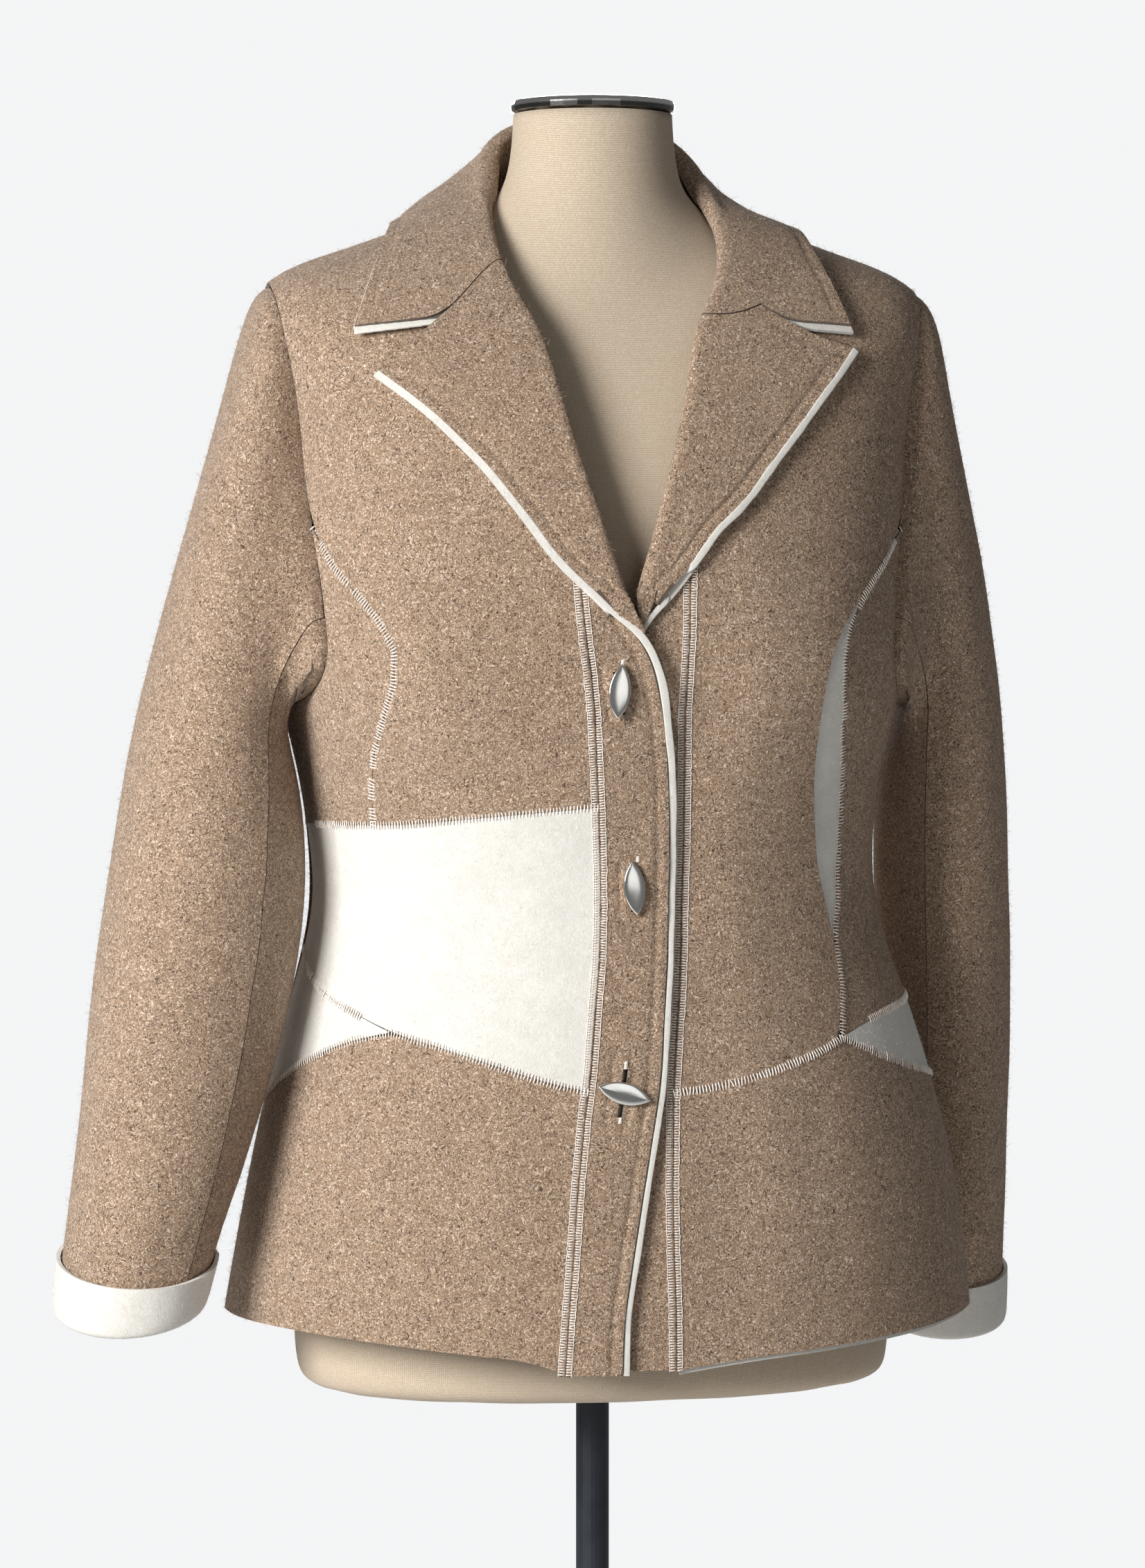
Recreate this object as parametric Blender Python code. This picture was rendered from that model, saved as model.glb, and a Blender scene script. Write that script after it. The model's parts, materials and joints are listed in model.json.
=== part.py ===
"""A short wool coat on a limbless dress form, modelled at its real size in metres.

The coat faces -Y and the wearer's left is +X. A place on the torso of the coat is an angle and a
level: the angle is in degrees from the centre front, with the wearer's left positive, and the level
is the height on the side of the torso, so a shoulder, a hem or a neck edge can dip or rise in z.
"""
import math

import bmesh
import bpy
import numpy as np

# Driving sizes
WALL = 0.0024                # the boiled wool
LAYER = 0.0022               # the thinner wool of lapels, collar and edge strips
SEAM = 0.0002                # what each piece stops short of its seam
LAYER_GAP = 0.0003           # between one layer of cloth and the next
STRIP = 0.0045               # width of the pale edge that shows beside a front edge
BACK_STRIP = 0.0012          # the same along the outer edge of the collar
ROLL_RADIUS = 0.0054         # outer radius of the lapel's roll
CREST_RADIUS = 0.0078        # the same at the back of the collar
EDGE_TO_ROLL = 0.0011        # from a front panel's neck edge to the middle of the roll
TURN_IN = 0.0060             # how far the roll reaches back inside the neck edge
STAND_ROOM = 0.0014          # more room between the neck edge and the collar's stand
STAND_SINK = 0.0010          # how much deeper than the lapels the stand starts
COLLAR_LIFT = 0.0010         # how much higher than the lapels the collar lies
LEFT_NOTCH_STRIP = 0.0       # share of the strip's width that shows in the narrow left notch
LAPEL_LIFT = 2 * LAYER + 3 * LAYER_GAP
FACING_DROP = WALL + LAYER_GAP
LEFT_DROP = FACING_DROP + LAYER + 0.0010
FACING_HIDDEN = 0.0095       # how far the facing strip runs back under the band
FACING_TOP = 1.170           # level under the lapel where it ends
BUTTON_LENGTH = 0.0325
BUTTON_WIDTH = 0.0130
BUTTON_EDGE = 0.0016
BUTTON_DOME = 0.0022
SHANK_RADIUS = 0.0010
SHANK_REACH = LEFT_DROP - 0.0009
SLIT_WIDTH = 0.0030
SLIT_LENGTH = 0.0270
CUFF_GAP = 0.0012            # between a sleeve's end and the cloth turned up round it
CUFF_ROWS = 0.66             # how far up the sleeve it reaches, in rows of the sleeve's table
FORM_STEP = 10.0             # degrees between the form's columns
FORM_BOTTOM = 0.7000
NECK_TOP = 1.4735
CAP_RADIUS = 0.0500
CAP_THICK = 0.0080
POLE_RADIUS = 0.0102
POLE_TOP = FORM_BOTTOM - 0.0003
SOCKET_RADIUS = 0.0240
SOCKET_TOP = 0.0750
BASE_RADIUS = 0.1850
BASE_THICK = 0.0140

RIGHT_APEX = -45.2           # angle where the hip gusset's tip lies
LEFT_APEX = 40.3
BAND_TOP_ANGLE = 9.4         # where the band's seam ends on the neck edge
BAND_WIDTH = 0.0425
BAND_HEM = 0.7375
BACK_HEM = 0.7450
CRESCENT_SINK = 0.0010
HEM_STRIP_SHOWS = 0.0022
HEM_STRIP_HIDDEN = 0.0120
CUFF_INSIDE = 0.0120
BUTTON_STAND = 0.0012        # from the band to the underside of a button
BUTTON_POINTS = 18
RIGHT_START = 1.1            # angle of the neck edge where each lapel starts
LEFT_START = 1.5
LAPEL_TUCK = 0.0008          # how far the pale layer of a lapel stops short inside
GORGE_GAP = 0.0004           # more room between the collar and the lapels

# Columns and rows of the nets
UPPER_COLUMNS = 8
NECK_ROWS = 6
BACK_COLUMNS = 10
BACK_NECK_COLUMNS = 6
BACK_SIDE_ROWS = 9
RELAX_ROUNDS = 15           # smoothing of the back's net, whose armhole bends away from its side
LAPEL_ROWS = 12
LAPEL_COLUMNS = 6
GORGE_COLUMNS = 3
COLLAR_ROWS = 13
ROLL_STEPS = 4
EDGE_LEVELS = [1.150, 1.172]
GUSSET_TIP = 0.13            # share of the first column that the gusset's tip is short of
GUSSET_GAP = 0.0004          # more room under the gusset, whose edge meets the seam at a slant
# Levels where the nets on both sides of an upright seam have their points
RIGHT_SKIRT_LEVELS = [0.768, 0.800, 0.838, 0.8765]
RIGHT_WAIST_LEVELS = [0.9035, 0.935, 0.965, 0.9945, 1.0215]
RIGHT_UPPER_LEVELS = [1.083, 1.1105, 1.1375, 1.160, 1.185, 1.215, 1.250, 1.290, 1.325]
LEFT_SKIRT_LEVELS = [0.768, 0.800, 0.834, 0.866]
LEFT_UPPER_LEVELS = [0.922, 0.950, 0.978, 1.004, 1.030, 1.056, 1.083, 1.110, 1.138, 1.164, 1.192,
                     1.225, 1.270, 1.325]
RIGHT_PRINCESS_LEVELS = [1.066, 1.087, 1.108, 1.129, 1.150, 1.168, 1.183, 1.200]
LEFT_PRINCESS_LEVELS = [0.946, 0.974, 0.999, 1.024, 1.049, 1.074, 1.099, 1.124, 1.144, 1.164,
                        1.183, 1.194, 1.204]
# Turns round the armhole where the nets on both sides of its seam have their points
FRONT_TURNS = [0.0, 14.1, 28.1, 42.2, 56.3, 70.4, 84.4, 98.5]
UNDERARM_TURNS = [98.5, 112.0, 125.0, 143.0, 161.0, 180.0]
BACK_TURNS = [180.0, 199.0, 217.0, 235.0, 252.9, 270.7, 288.6, 306.4, 324.3, 342.1, 360.0]
SIDE_COLUMNS = len(UNDERARM_TURNS) - 1

# The torso of the coat: level, side z, front z, back z, half width, front depth, back depth,
# squareness, sideways shift
TORSO = [
    (0.745, 0.747, 0.733, 0.742, 0.2310, 0.156, 0.156, 2.15, 0.004),
    (0.800, 0.800, 0.795, 0.798, 0.2235, 0.151, 0.152, 2.15, 0.006),
    (0.860, 0.860, 0.858, 0.860, 0.2120, 0.145, 0.147, 2.15, 0.006),
    (0.930, 0.930, 0.930, 0.930, 0.1925, 0.135, 0.130, 2.10, 0.004),
    (1.000, 1.000, 1.000, 1.000, 0.1735, 0.124, 0.108, 2.10, 0.001),
    (1.060, 1.060, 1.060, 1.062, 0.1790, 0.132, 0.110, 2.15, 0.000),
    (1.125, 1.125, 1.125, 1.135, 0.1920, 0.142, 0.120, 2.30, 0.000),
    (1.200, 1.200, 1.188, 1.215, 0.1910, 0.140, 0.128, 2.35, 0.000),
    (1.290, 1.290, 1.245, 1.300, 0.1930, 0.127, 0.124, 2.35, 0.000),
    (1.370, 1.370, 1.305, 1.375, 0.1990, 0.110, 0.098, 2.15, 0.000),
    (1.420, 1.395, 1.345, 1.408, 0.1400, 0.092, 0.080, 2.05, 0.000),
    (1.470, 1.417, 1.380, 1.430, 0.0760, 0.074, 0.065, 2.00, 0.000),
]
BUST_ANGLE = 38.0
BUST_LEVEL = 1.135
BUST_HEIGHT = 0.010
BUST_WIDTH = 17.0            # degrees
BUST_RISE = 0.050

# Seams that run up the coat: level, angle
RIGHT_BAND_SEAM = [(0.725, -10.2), (0.780, -9.8), (0.822, -9.3), (0.866, -8.6), (0.897, -7.6),
                   (0.932, -6.8), (0.978, -5.3), (1.024, -4.9), (1.071, -5.1), (1.116, -5.1),
                   (1.141, -5.5), (1.168, -6.2), (1.210, -6.8), (1.290, -8.3), (1.325, -9.0)]
RIGHT_BAND_EDGE = [(0.725, -2.3), (0.768, -2.4), (0.800, -1.3), (0.835, -0.1), (0.865, 1.1),
                   (0.892, 2.6), (0.932, 4.3), (0.977, 6.5), (1.023, 7.3), (1.070, 6.2),
                   (1.098, 4.9), (1.118, 3.7), (1.132, 2.9), (1.144, 2.0), (1.158, 0.7),
                   (1.168, -0.3), (1.172, -0.6)]
LEFT_BAND_SEAM = [(0.725, 4.4), (0.759, 4.3), (0.800, 3.9), (0.843, 4.0), (0.891, 5.1),
                  (0.932, 7.1), (0.977, 9.6), (1.023, 10.5), (1.070, 9.5), (1.116, 7.8),
                  (1.168, 8.0), (1.210, 8.2), (1.290, 8.7), (1.325, 9.0)]
LEFT_BAND_EDGE = [(0.725, -8.0), (0.800, -7.6), (0.892, -5.8), (0.977, -3.6), (1.023, -3.2),
                  (1.070, -3.4), (1.110, -3.6), (1.140, -3.0), (1.160, -1.2), (1.172, 0.6)]
RIGHT_PRINCESS = [(1.030, -54.6), (1.047, -54.2), (1.068, -53.0), (1.087, -50.6), (1.110, -46.0),
                  (1.130, -42.6), (1.150, -42.2), (1.164, -44.8), (1.173, -47.8), (1.183, -51.3),
                  (1.192, -56.2), (1.201, -60.2), (1.215, -65.2), (1.240, -70.0)]
LEFT_PRINCESS = [(0.900, 39.6), (0.920, 40.6), (0.931, 43.1), (0.956, 45.0), (0.973, 46.7),
                 (0.999, 50.0), (1.035, 49.9), (1.074, 46.9), (1.107, 42.5), (1.130, 41.0),
                 (1.150, 40.8), (1.166, 42.8), (1.182, 46.7), (1.199, 53.8), (1.215, 62.5),
                 (1.240, 70.0)]
CRESCENT_EDGE = [(0.974, 46.4), (0.988, 45.7), (1.012, 43.9), (1.036, 41.2), (1.060, 38.7),
                 (1.086, 36.6), (1.110, 35.3), (1.135, 35.4), (1.160, 38.4), (1.176, 43.0),
                 (1.183, 46.4)]

# Seams and edges that run round the coat: angle, level
RIGHT_WAIST_TOP = [(-90.0, 1.0430), (-71.0, 1.0436), (-54.5, 1.0446), (-48.7, 1.0450),
                   (-29.7, 1.0496), (-14.0, 1.0540), (0.0, 1.0580)]
RIGHT_HIP_SEAM = [(-90.0, 0.9665), (-82.4, 0.9584), (-76.9, 0.9515), (-67.0, 0.9423),
                  (-59.0, 0.9345), (-51.6, 0.9290), (-45.2, 0.9226), (-34.6, 0.9152),
                  (-28.3, 0.9097), (-21.0, 0.9026), (-14.2, 0.8957), (-8.4, 0.8913), (0.0, 0.886)]
RIGHT_GUSSET_EDGE = [(-90.0, 0.8760), (-79.8, 0.8898), (-70.3, 0.9015), (-61.5, 0.9109),
                     (-53.0, 0.9183), (-45.2, 0.9226)]
LEFT_HIP_SEAM = [(0.0, 0.8890), (5.8, 0.8901), (12.7, 0.8930), (18.5, 0.8966), (26.8, 0.9038),
                 (34.4, 0.9102), (40.3, 0.9173), (50.4, 0.9260), (70.0, 0.9335), (90.0, 0.9370)]
LEFT_GUSSET_EDGE = [(40.0, 0.9171), (48.1, 0.9072), (57.2, 0.8987), (75.0, 0.8890),
                    (90.0, 0.8830)]
FRONT_HEM = [(-90.0, 0.7450), (-24.0, 0.7460), (-13.0, 0.7430), (-10.0, 0.7385), (0.0, 0.7372),
             (5.0, 0.7390), (15.0, 0.7433), (28.5, 0.7447), (56.0, 0.7445), (90.0, 0.7430)]

# The armhole, half of it in front and half behind: turn round it, angle, level
ARMHOLE = [(0, 90.0, 1.3700), (20, 76.5, 1.3620), (40, 70.0, 1.3430), (60, 71.0, 1.3060),
           (80, 71.8, 1.2660), (100, 67.5, 1.2200), (120, 63.5, 1.1770), (140, 59.5, 1.1460),
           (160, 67.0, 1.1210), (180, 90.0, 1.1120), (200, 106.0, 1.1250), (220, 112.0, 1.1500),
           (240, 113.5, 1.1850), (260, 112.0, 1.2260), (280, 110.5, 1.2680),
           (300, 109.5, 1.3080), (320, 108.0, 1.3400), (340, 101.0, 1.3610), (360, 90.0, 1.3700)]

# The neck edge of the panels, under the roll of the lapel and the collar: angle, level
NECK_EDGE = [(0.6, 1.1720), (1.1, 1.1800), (2.0, 1.2000), (3.0, 1.2210), (4.1, 1.2500),
             (5.2, 1.2760), (7.2, 1.3100), (9.4, 1.3460), (12.4, 1.3760), (18.5, 1.4050),
             (28.0, 1.4240), (37.5, 1.4400), (48.0, 1.4510), (60.0, 1.4570), (74.0, 1.4600),
             (90.0, 1.4610), (110.0, 1.4620), (128.0, 1.4620), (146.0, 1.4620),
             (163.0, 1.4620), (180.0, 1.4620)]
V_ROWS = 10                  # the rows of it that run up the V of the lapels
# The top of the collar's roll, where it stands off the shoulders: angle of its neck edge, x, y, z
CREST = [(30.0, 0.0580, -0.0700, 1.3720), (40.0, 0.0625, -0.0600, 1.3860),
         (48.0, 0.0655, -0.0500, 1.3960), (60.0, 0.0672, -0.0350, 1.4090),
         (74.0, 0.0672, -0.0170, 1.4240), (90.0, 0.0658, 0.0020, 1.4385),
         (110.0, 0.0612, 0.0220, 1.4535), (128.0, 0.0520, 0.0400, 1.4660),
         (146.0, 0.0370, 0.0535, 1.4745), (163.0, 0.0190, 0.0615, 1.4790),
         (180.0, 0.0000, 0.0640, 1.4800)]

# Lapels and collar on the chest: angle, level
RIGHT_LAPEL_EDGE = [(-1.9, 1.1778), (-4.1, 1.1905), (-7.4, 1.2065), (-10.8, 1.2271),
                    (-13.5, 1.2503), (-17.1, 1.2748), (-22.5, 1.3019), (-27.1, 1.3173),
                    (-31.9, 1.3321), (-38.0, 1.3400), (-41.6, 1.3445)]
RIGHT_LAPEL_TOP = [(-35.6, 1.3910), (-37.0, 1.3687), (-39.6, 1.3555), (-41.6, 1.3445)]
RIGHT_GORGE = [(-37.2, 1.4230), (-35.9, 1.4110), (-35.6, 1.3910)]
RIGHT_GORGE_START = 38.3     # angle where the gorge seam leaves the neck edge
RIGHT_COLLAR_FRONT = [(-35.6, 1.3910), (-42.0, 1.3770), (-48.4, 1.3645)]
RIGHT_COLLAR_EDGE = [(-48.4, 1.3645), (-50.4, 1.3790), (-55.0, 1.3940), (-63.0, 1.4100),
                     (-78.0, 1.4290), (-95.0, 1.4340), (-120.0, 1.4260), (-150.0, 1.4120),
                     (-180.0, 1.4070)]
LEFT_LAPEL_EDGE = [(3.0, 1.1835), (5.3, 1.1977), (8.4, 1.2187), (12.6, 1.2509),
                   (15.7, 1.2641), (22.3, 1.2967), (28.6, 1.3234), (35.8, 1.3469),
                   (41.1, 1.3562), (42.2, 1.3600)]
LEFT_LAPEL_TOP = [(34.6, 1.3915), (36.6, 1.3780), (42.2, 1.3600)]
LEFT_GORGE = [(27.0, 1.4060), (32.6, 1.4080), (34.6, 1.3915)]
LEFT_GORGE_START = 21.0
LEFT_COLLAR_FRONT = [(34.6, 1.3915), (39.6, 1.3830), (44.8, 1.3735)]
LEFT_COLLAR_EDGE = [(44.8, 1.3735), (49.8, 1.3908), (55.0, 1.4050), (67.0, 1.4220),
                    (84.0, 1.4320), (95.0, 1.4340), (120.0, 1.4260), (150.0, 1.4120),
                    (180.0, 1.4070)]

# Buttons: height z, share of the band's width, turn from upright in degrees
BUTTONS = [(1.124, 0.43, 6.0), (1.008, 0.47, -4.0), (0.890, 0.52, 92.0)]

# Sleeves: outer x, outer z, inner x, inner z, middle y, half depth, squareness, forward tilt. The
# first row is as high as the armhole, and the last is the sleeve's end.
RIGHT_SLEEVE = [
    (0.1990, 1.3700, 0.1905, 1.1120, 0.002, 0.0560, 2.0, 0.00),
    (0.2100, 1.3500, 0.1950, 1.1115, 0.002, 0.0600, 2.0, 0.00),
    (0.2240, 1.3080, 0.1960, 1.1090, 0.000, 0.0650, 2.0, 0.00),
    (0.2400, 1.2540, 0.1950, 1.1050, -0.003, 0.0680, 2.0, 0.00),
    (0.2560, 1.2030, 0.1925, 1.0980, -0.006, 0.0690, 2.0, 0.00),
    (0.2700, 1.1540, 0.1890, 1.0850, -0.010, 0.0690, 2.0, 0.00),
    (0.2835, 1.1018, 0.1850, 1.0600, -0.015, 0.0680, 2.0, 0.00),
    (0.2950, 1.0400, 0.1830, 1.0200, -0.021, 0.0660, 2.0, 0.00),
    (0.3040, 0.9850, 0.1870, 0.9760, -0.027, 0.0640, 2.0, 0.02),
    (0.3115, 0.9300, 0.1965, 0.9270, -0.034, 0.0620, 2.0, 0.06),
    (0.3165, 0.8800, 0.2080, 0.8750, -0.040, 0.0590, 2.0, 0.12),
    (0.3220, 0.8350, 0.2220, 0.8330, -0.045, 0.0530, 2.0, 0.20),
    (0.3270, 0.8000, 0.2345, 0.8000, -0.049, 0.0480, 2.0, 0.27),
    (0.3320, 0.7590, 0.2440, 0.7650, -0.050, 0.0450, 2.0, 0.30),
]
LEFT_SLEEVE = [
    (0.1990, 1.3700, 0.1905, 1.1120, 0.002, 0.0560, 2.0, 0.00),
    (0.2110, 1.3500, 0.1950, 1.1115, 0.006, 0.0590, 2.0, 0.00),
    (0.2220, 1.3080, 0.1960, 1.1090, 0.012, 0.0630, 2.0, 0.00),
    (0.2350, 1.2540, 0.1955, 1.1050, 0.018, 0.0660, 2.0, 0.00),
    (0.2480, 1.2030, 0.1940, 1.0980, 0.025, 0.0670, 2.0, 0.00),
    (0.2590, 1.1500, 0.1920, 1.0870, 0.033, 0.0670, 2.0, 0.00),
    (0.2670, 1.0950, 0.1900, 1.0620, 0.042, 0.0660, 2.0, 0.00),
    (0.2735, 1.0350, 0.1900, 1.0150, 0.053, 0.0640, 1.9, 0.00),
    (0.2785, 0.9800, 0.1950, 0.9650, 0.064, 0.0620, 1.9, 0.02),
    (0.2825, 0.9200, 0.2000, 0.9100, 0.076, 0.0600, 1.9, 0.05),
    (0.2850, 0.8600, 0.2040, 0.8520, 0.090, 0.0570, 2.0, 0.09),
    (0.2865, 0.8100, 0.2060, 0.8050, 0.103, 0.0520, 2.0, 0.15),
    (0.2870, 0.7650, 0.2060, 0.7630, 0.113, 0.0480, 2.0, 0.21),
    (0.2870, 0.7200, 0.2060, 0.7200, 0.116, 0.0450, 2.0, 0.24),
]
SLEEVE_ROWS = [0, 0.35, 0.9, 1.6, 2.5, 3.6, 4.8, 6.1, 7.5, 9.0, 10.6, 12.34, 13]
SLEEVE_SEAM = 125.0          # turn from the outer side of the sleeve to each of its seams
SLEEVE_GAP = 0.0003
ROOT_SINK = 0.0008           # the sleeve's edge under the outside of the panels
ROOT_GAP = 0.0009            # and its distance from their edge
CAP_PUFF = 0.0055            # height of the sleeve head beside its seam
UNDER_PUFF = 0.0046          # how far the sleeve lifts off the panels under the arm
CAP_RISE = 0.0022            # and round the sleeve head
CAP_PUFF_ROWS = 3.0
ARMHOLE_FADE = 5.0           # rows over which the armhole's own shape fades out

# The form inside the coat: level, clearance at the side, front and back
FORM_CLEARANCE = [
    (0.745, 0.0440, 0.0390, 0.0370), (0.800, 0.0385, 0.0350, 0.0320),
    (0.860, 0.0290, 0.0290, 0.0270), (0.930, 0.0150, 0.0210, 0.0160),
    (1.000, 0.0065, 0.0170, 0.0080), (1.060, 0.0070, 0.0170, 0.0080),
    (1.125, 0.0110, 0.0190, 0.0090), (1.200, 0.0110, 0.0200, 0.0100),
    (1.290, 0.0100, 0.0200, 0.0080), (1.370, 0.0070, 0.0190, 0.0045),
    (1.410, 0.0050, 0.0170, 0.0050), (1.440, 0.0070, 0.0150, 0.0070),
    (1.465, 0.0110, 0.0120, 0.0100),
]
FORM_LEVELS = [0.745, 0.800, 0.860, 0.930, 1.000, 1.060, 1.120, 1.180, 1.240, 1.300, 1.350, 1.385,
               1.410, 1.435, 1.460]
# The rings below the coat's own shape and up the neck: z, half width, front depth, back depth,
# squareness
FORM_FOOT = [(0.7000, 0.1700, 0.1030, 0.1050, 2.25), (0.7030, 0.1790, 0.1110, 0.1130, 2.25),
             (0.7110, 0.1835, 0.1150, 0.1175, 2.25)]
# side z, front z, back z, half width, front depth, back depth
FORM_NECK = [(1.4230, 1.3950, 1.4310, 0.0575, 0.0590, 0.0525),
             (1.4380, 1.4160, 1.4430, 0.0520, 0.0535, 0.0495),
             (1.4560, 1.4440, 1.4580, 0.0495, 0.0500, 0.0490),
             (NECK_TOP, NECK_TOP, NECK_TOP, 0.0487, 0.0487, 0.0487)]

TAUPE = (0.40, 0.30, 0.21, 1.0)
IVORY = (0.80, 0.77, 0.69, 1.0)
LINEN = (0.58, 0.47, 0.34, 1.0)
NICKEL = (0.62, 0.60, 0.56, 1.0)
STEEL = (0.10, 0.12, 0.15, 1.0)


def through(knots, values, at):
    """A smooth curve through the values at the knots, read at the given places."""
    knots = np.asarray(knots, float)
    values = np.asarray(values, float)
    flat = values.ndim == 1
    if flat:
        values = values[:, None]
    at = np.asarray(at, float)
    shape = at.shape
    at = at.ravel()
    steps = np.diff(knots)[:, None]
    slopes = np.diff(values, axis=0) / steps
    tangents = np.empty_like(values)
    tangents[0] = slopes[0]
    tangents[-1] = slopes[-1]
    if len(knots) > 2:
        weighted = slopes[:-1] * steps[1:] + slopes[1:] * steps[:-1]
        tangents[1:-1] = weighted / (steps[1:] + steps[:-1])
    i = np.clip(np.searchsorted(knots, at, side="right") - 1, 0, len(knots) - 2)
    h = steps[i]
    u = (at - knots[i])[:, None] / h
    out = values[i] * (1 + 2 * u) * (1 - u) ** 2
    out += tangents[i] * h * u * (1 - u) ** 2
    out += values[i + 1] * u * u * (3 - 2 * u)
    out += tangents[i + 1] * h * u * u * (u - 1)
    out = out.reshape(shape + (values.shape[1],))
    return out[..., 0] if flat else out


def column(table, index):
    """One column of a table as an array."""
    return np.array([row[index] for row in table], float)


def ease(value):
    """0 below 0, 1 above 1, and smooth between."""
    value = np.clip(value, 0.0, 1.0)
    return value * value * (3 - 2 * value)


def unit(vectors):
    """The vectors at length 1."""
    return vectors / np.linalg.norm(vectors, axis=-1, keepdims=True)


def body(angle, level):
    """Points on the outside of the coat's torso."""
    angle, level = np.broadcast_arrays(np.asarray(angle, float), np.asarray(level, float))
    row = through(column(TORSO, 0), [entry[1:] for entry in TORSO], level)
    side_z, front_z, back_z, half, front, back, square, shift = np.moveaxis(row, -1, 0)
    sine = np.sin(np.radians(angle))
    cosine = np.cos(np.radians(angle))
    power = 2.0 / square
    bust = np.exp(-((np.abs(angle) - BUST_ANGLE) / BUST_WIDTH) ** 2
                  - ((level - BUST_LEVEL) / BUST_RISE) ** 2)
    depth = np.where(cosine > 0, front + BUST_HEIGHT * bust, back)
    x = shift + half * np.sign(sine) * np.abs(sine) ** power
    y = -np.sign(cosine) * depth * np.abs(cosine) ** power
    z = side_z * sine ** 2 + np.where(cosine > 0, front_z, back_z) * cosine ** 2
    return np.stack([x, y, z], -1)


def outward(angle, level):
    """Unit vectors out of the coat at the same places."""
    turn = 0.4
    rise = 0.0012
    across = body(np.asarray(angle) + turn, level) - body(np.asarray(angle) - turn, level)
    up = body(angle, np.asarray(level) + rise) - body(angle, np.asarray(level) - rise)
    return unit(np.cross(across, up))


def lay(angle, level, out=0.0):
    """Points at a distance outside the coat's torso, or inside it where out is negative."""
    return body(angle, level) + outward(angle, level) * np.asarray(out, float)[..., None]


def left_drop(angle, level):
    """How far the wearer's left front lies below the right one, which laps over it."""
    across = 1 - ease((np.asarray(angle, float) - 9.5) / 13.0)
    below = 1 - ease((np.asarray(level, float) - 1.19) / 0.09)
    return LEFT_DROP * across * below


def angle_on(seam, level):
    """The angle of an upright seam at a level."""
    return through(column(seam, 0), column(seam, 1), level)


def level_on(seam, angle):
    """The level of a seam that runs round the coat, at an angle."""
    return through(column(seam, 0), column(seam, 1), angle)


def crossing(upright, level_seam):
    """Where an upright seam crosses one that runs round: angle, level."""
    level = float(np.mean(column(level_seam, 1)))
    for _ in range(20):
        angle = float(angle_on(upright, level))
        level = float(level_on(level_seam, angle))
    return angle, level


def level_run(seam, start, end, count):
    """Points (angle, level) along a seam that runs round the coat."""
    angles = np.linspace(start, end, count + 1)
    return np.stack([angles, level_on(seam, angles)], -1)


def run(points, count):
    """Evenly spaced points along a smooth curve through (angle, level) points."""
    points = np.asarray(points, float)
    metric = np.array([0.0025, 1.0])
    lengths = np.linalg.norm(np.diff(points * metric, axis=0), axis=1)
    knots = np.concatenate([[0.0], np.cumsum(lengths)])
    return through(knots, points, np.linspace(0, knots[-1], count + 1))


def join(*runs):
    """One run of points from several that share their ends."""
    points = [runs[0]]
    for following in runs[1:]:
        points.append(following[1:])
    return np.concatenate(points)


def patch(low, high, start, end):
    """A net of (angle, level) points inside four edges.

    low and high run from start's side to end's side, and start and end run from low to high.
    """
    columns = len(low)
    rows = len(start)
    u = np.linspace(0, 1, columns)[:, None, None]
    v = np.linspace(0, 1, rows)[None, :, None]
    between_levels = (1 - v) * low[:, None] + v * high[:, None]
    between_sides = (1 - u) * start[None] + u * end[None]
    corners = ((1 - u) * ((1 - v) * low[0] + v * high[0]) + u * ((1 - v) * low[-1] + v * high[-1]))
    return between_levels + between_sides - corners


def relaxed(net, rounds):
    """The net with its inner points evened out between their neighbours."""
    net = net.copy()
    for _ in range(rounds):
        net[1:-1, 1:-1] = (net[:-2, 1:-1] + net[2:, 1:-1] + net[1:-1, :-2] + net[1:-1, 2:]) / 4
    return net


def armhole(turn, side):
    """Points (angle, level) round an armhole. side is 1 for the wearer's left, -1 for the right."""
    turns = column(ARMHOLE, 0)
    places = np.array([row[1:] for row in ARMHOLE])
    knots = np.concatenate([turns[:-1] - 360, turns, turns[1:] + 360])
    values = np.concatenate([places[:-1], places, places[1:]])
    point = through(knots, values, np.asarray(turn, float))
    return point * np.array([side, 1.0])


def neck_row(place):
    """The neck edge at a place from 0, the break of the lapel, to 1, the centre back."""
    table = np.array(NECK_EDGE)
    metric = np.array([0.0016, 1.0])
    lengths = np.linalg.norm(np.diff(table * metric, axis=0), axis=1)
    knots = np.concatenate([[0.0], np.cumsum(lengths)])
    return through(knots / knots[-1], table, place)


def neck_place(angle):
    """The place along the neck edge that has an angle."""
    places = np.linspace(0, 1, 801)
    return float(np.interp(angle, neck_row(places)[:, 0], places))


def neck_run(start, end, count, side):
    """Points (angle, level) along the neck edge, between two places on it."""
    return neck_row(np.linspace(start, end, count + 1)) * np.array([side, 1.0])


def dressed(name, build, colour, roughness, metallic=0.0, smooth=35.0):
    """A named object from a bmesh, with its own material."""
    mesh = bpy.data.meshes.new(name)
    build.to_mesh(mesh)
    build.free()
    mesh.shade_smooth()
    mesh.set_sharp_from_angle(angle=math.radians(smooth))
    material = bpy.data.materials.new(name)
    material.use_nodes = True
    shader = material.node_tree.nodes["Principled BSDF"]
    shader.inputs["Base Color"].default_value = colour
    shader.inputs["Roughness"].default_value = roughness
    shader.inputs["Metallic"].default_value = metallic
    mesh.materials.append(material)
    piece = bpy.data.objects.new(name, mesh)
    bpy.context.scene.collection.objects.link(piece)
    return piece


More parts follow.
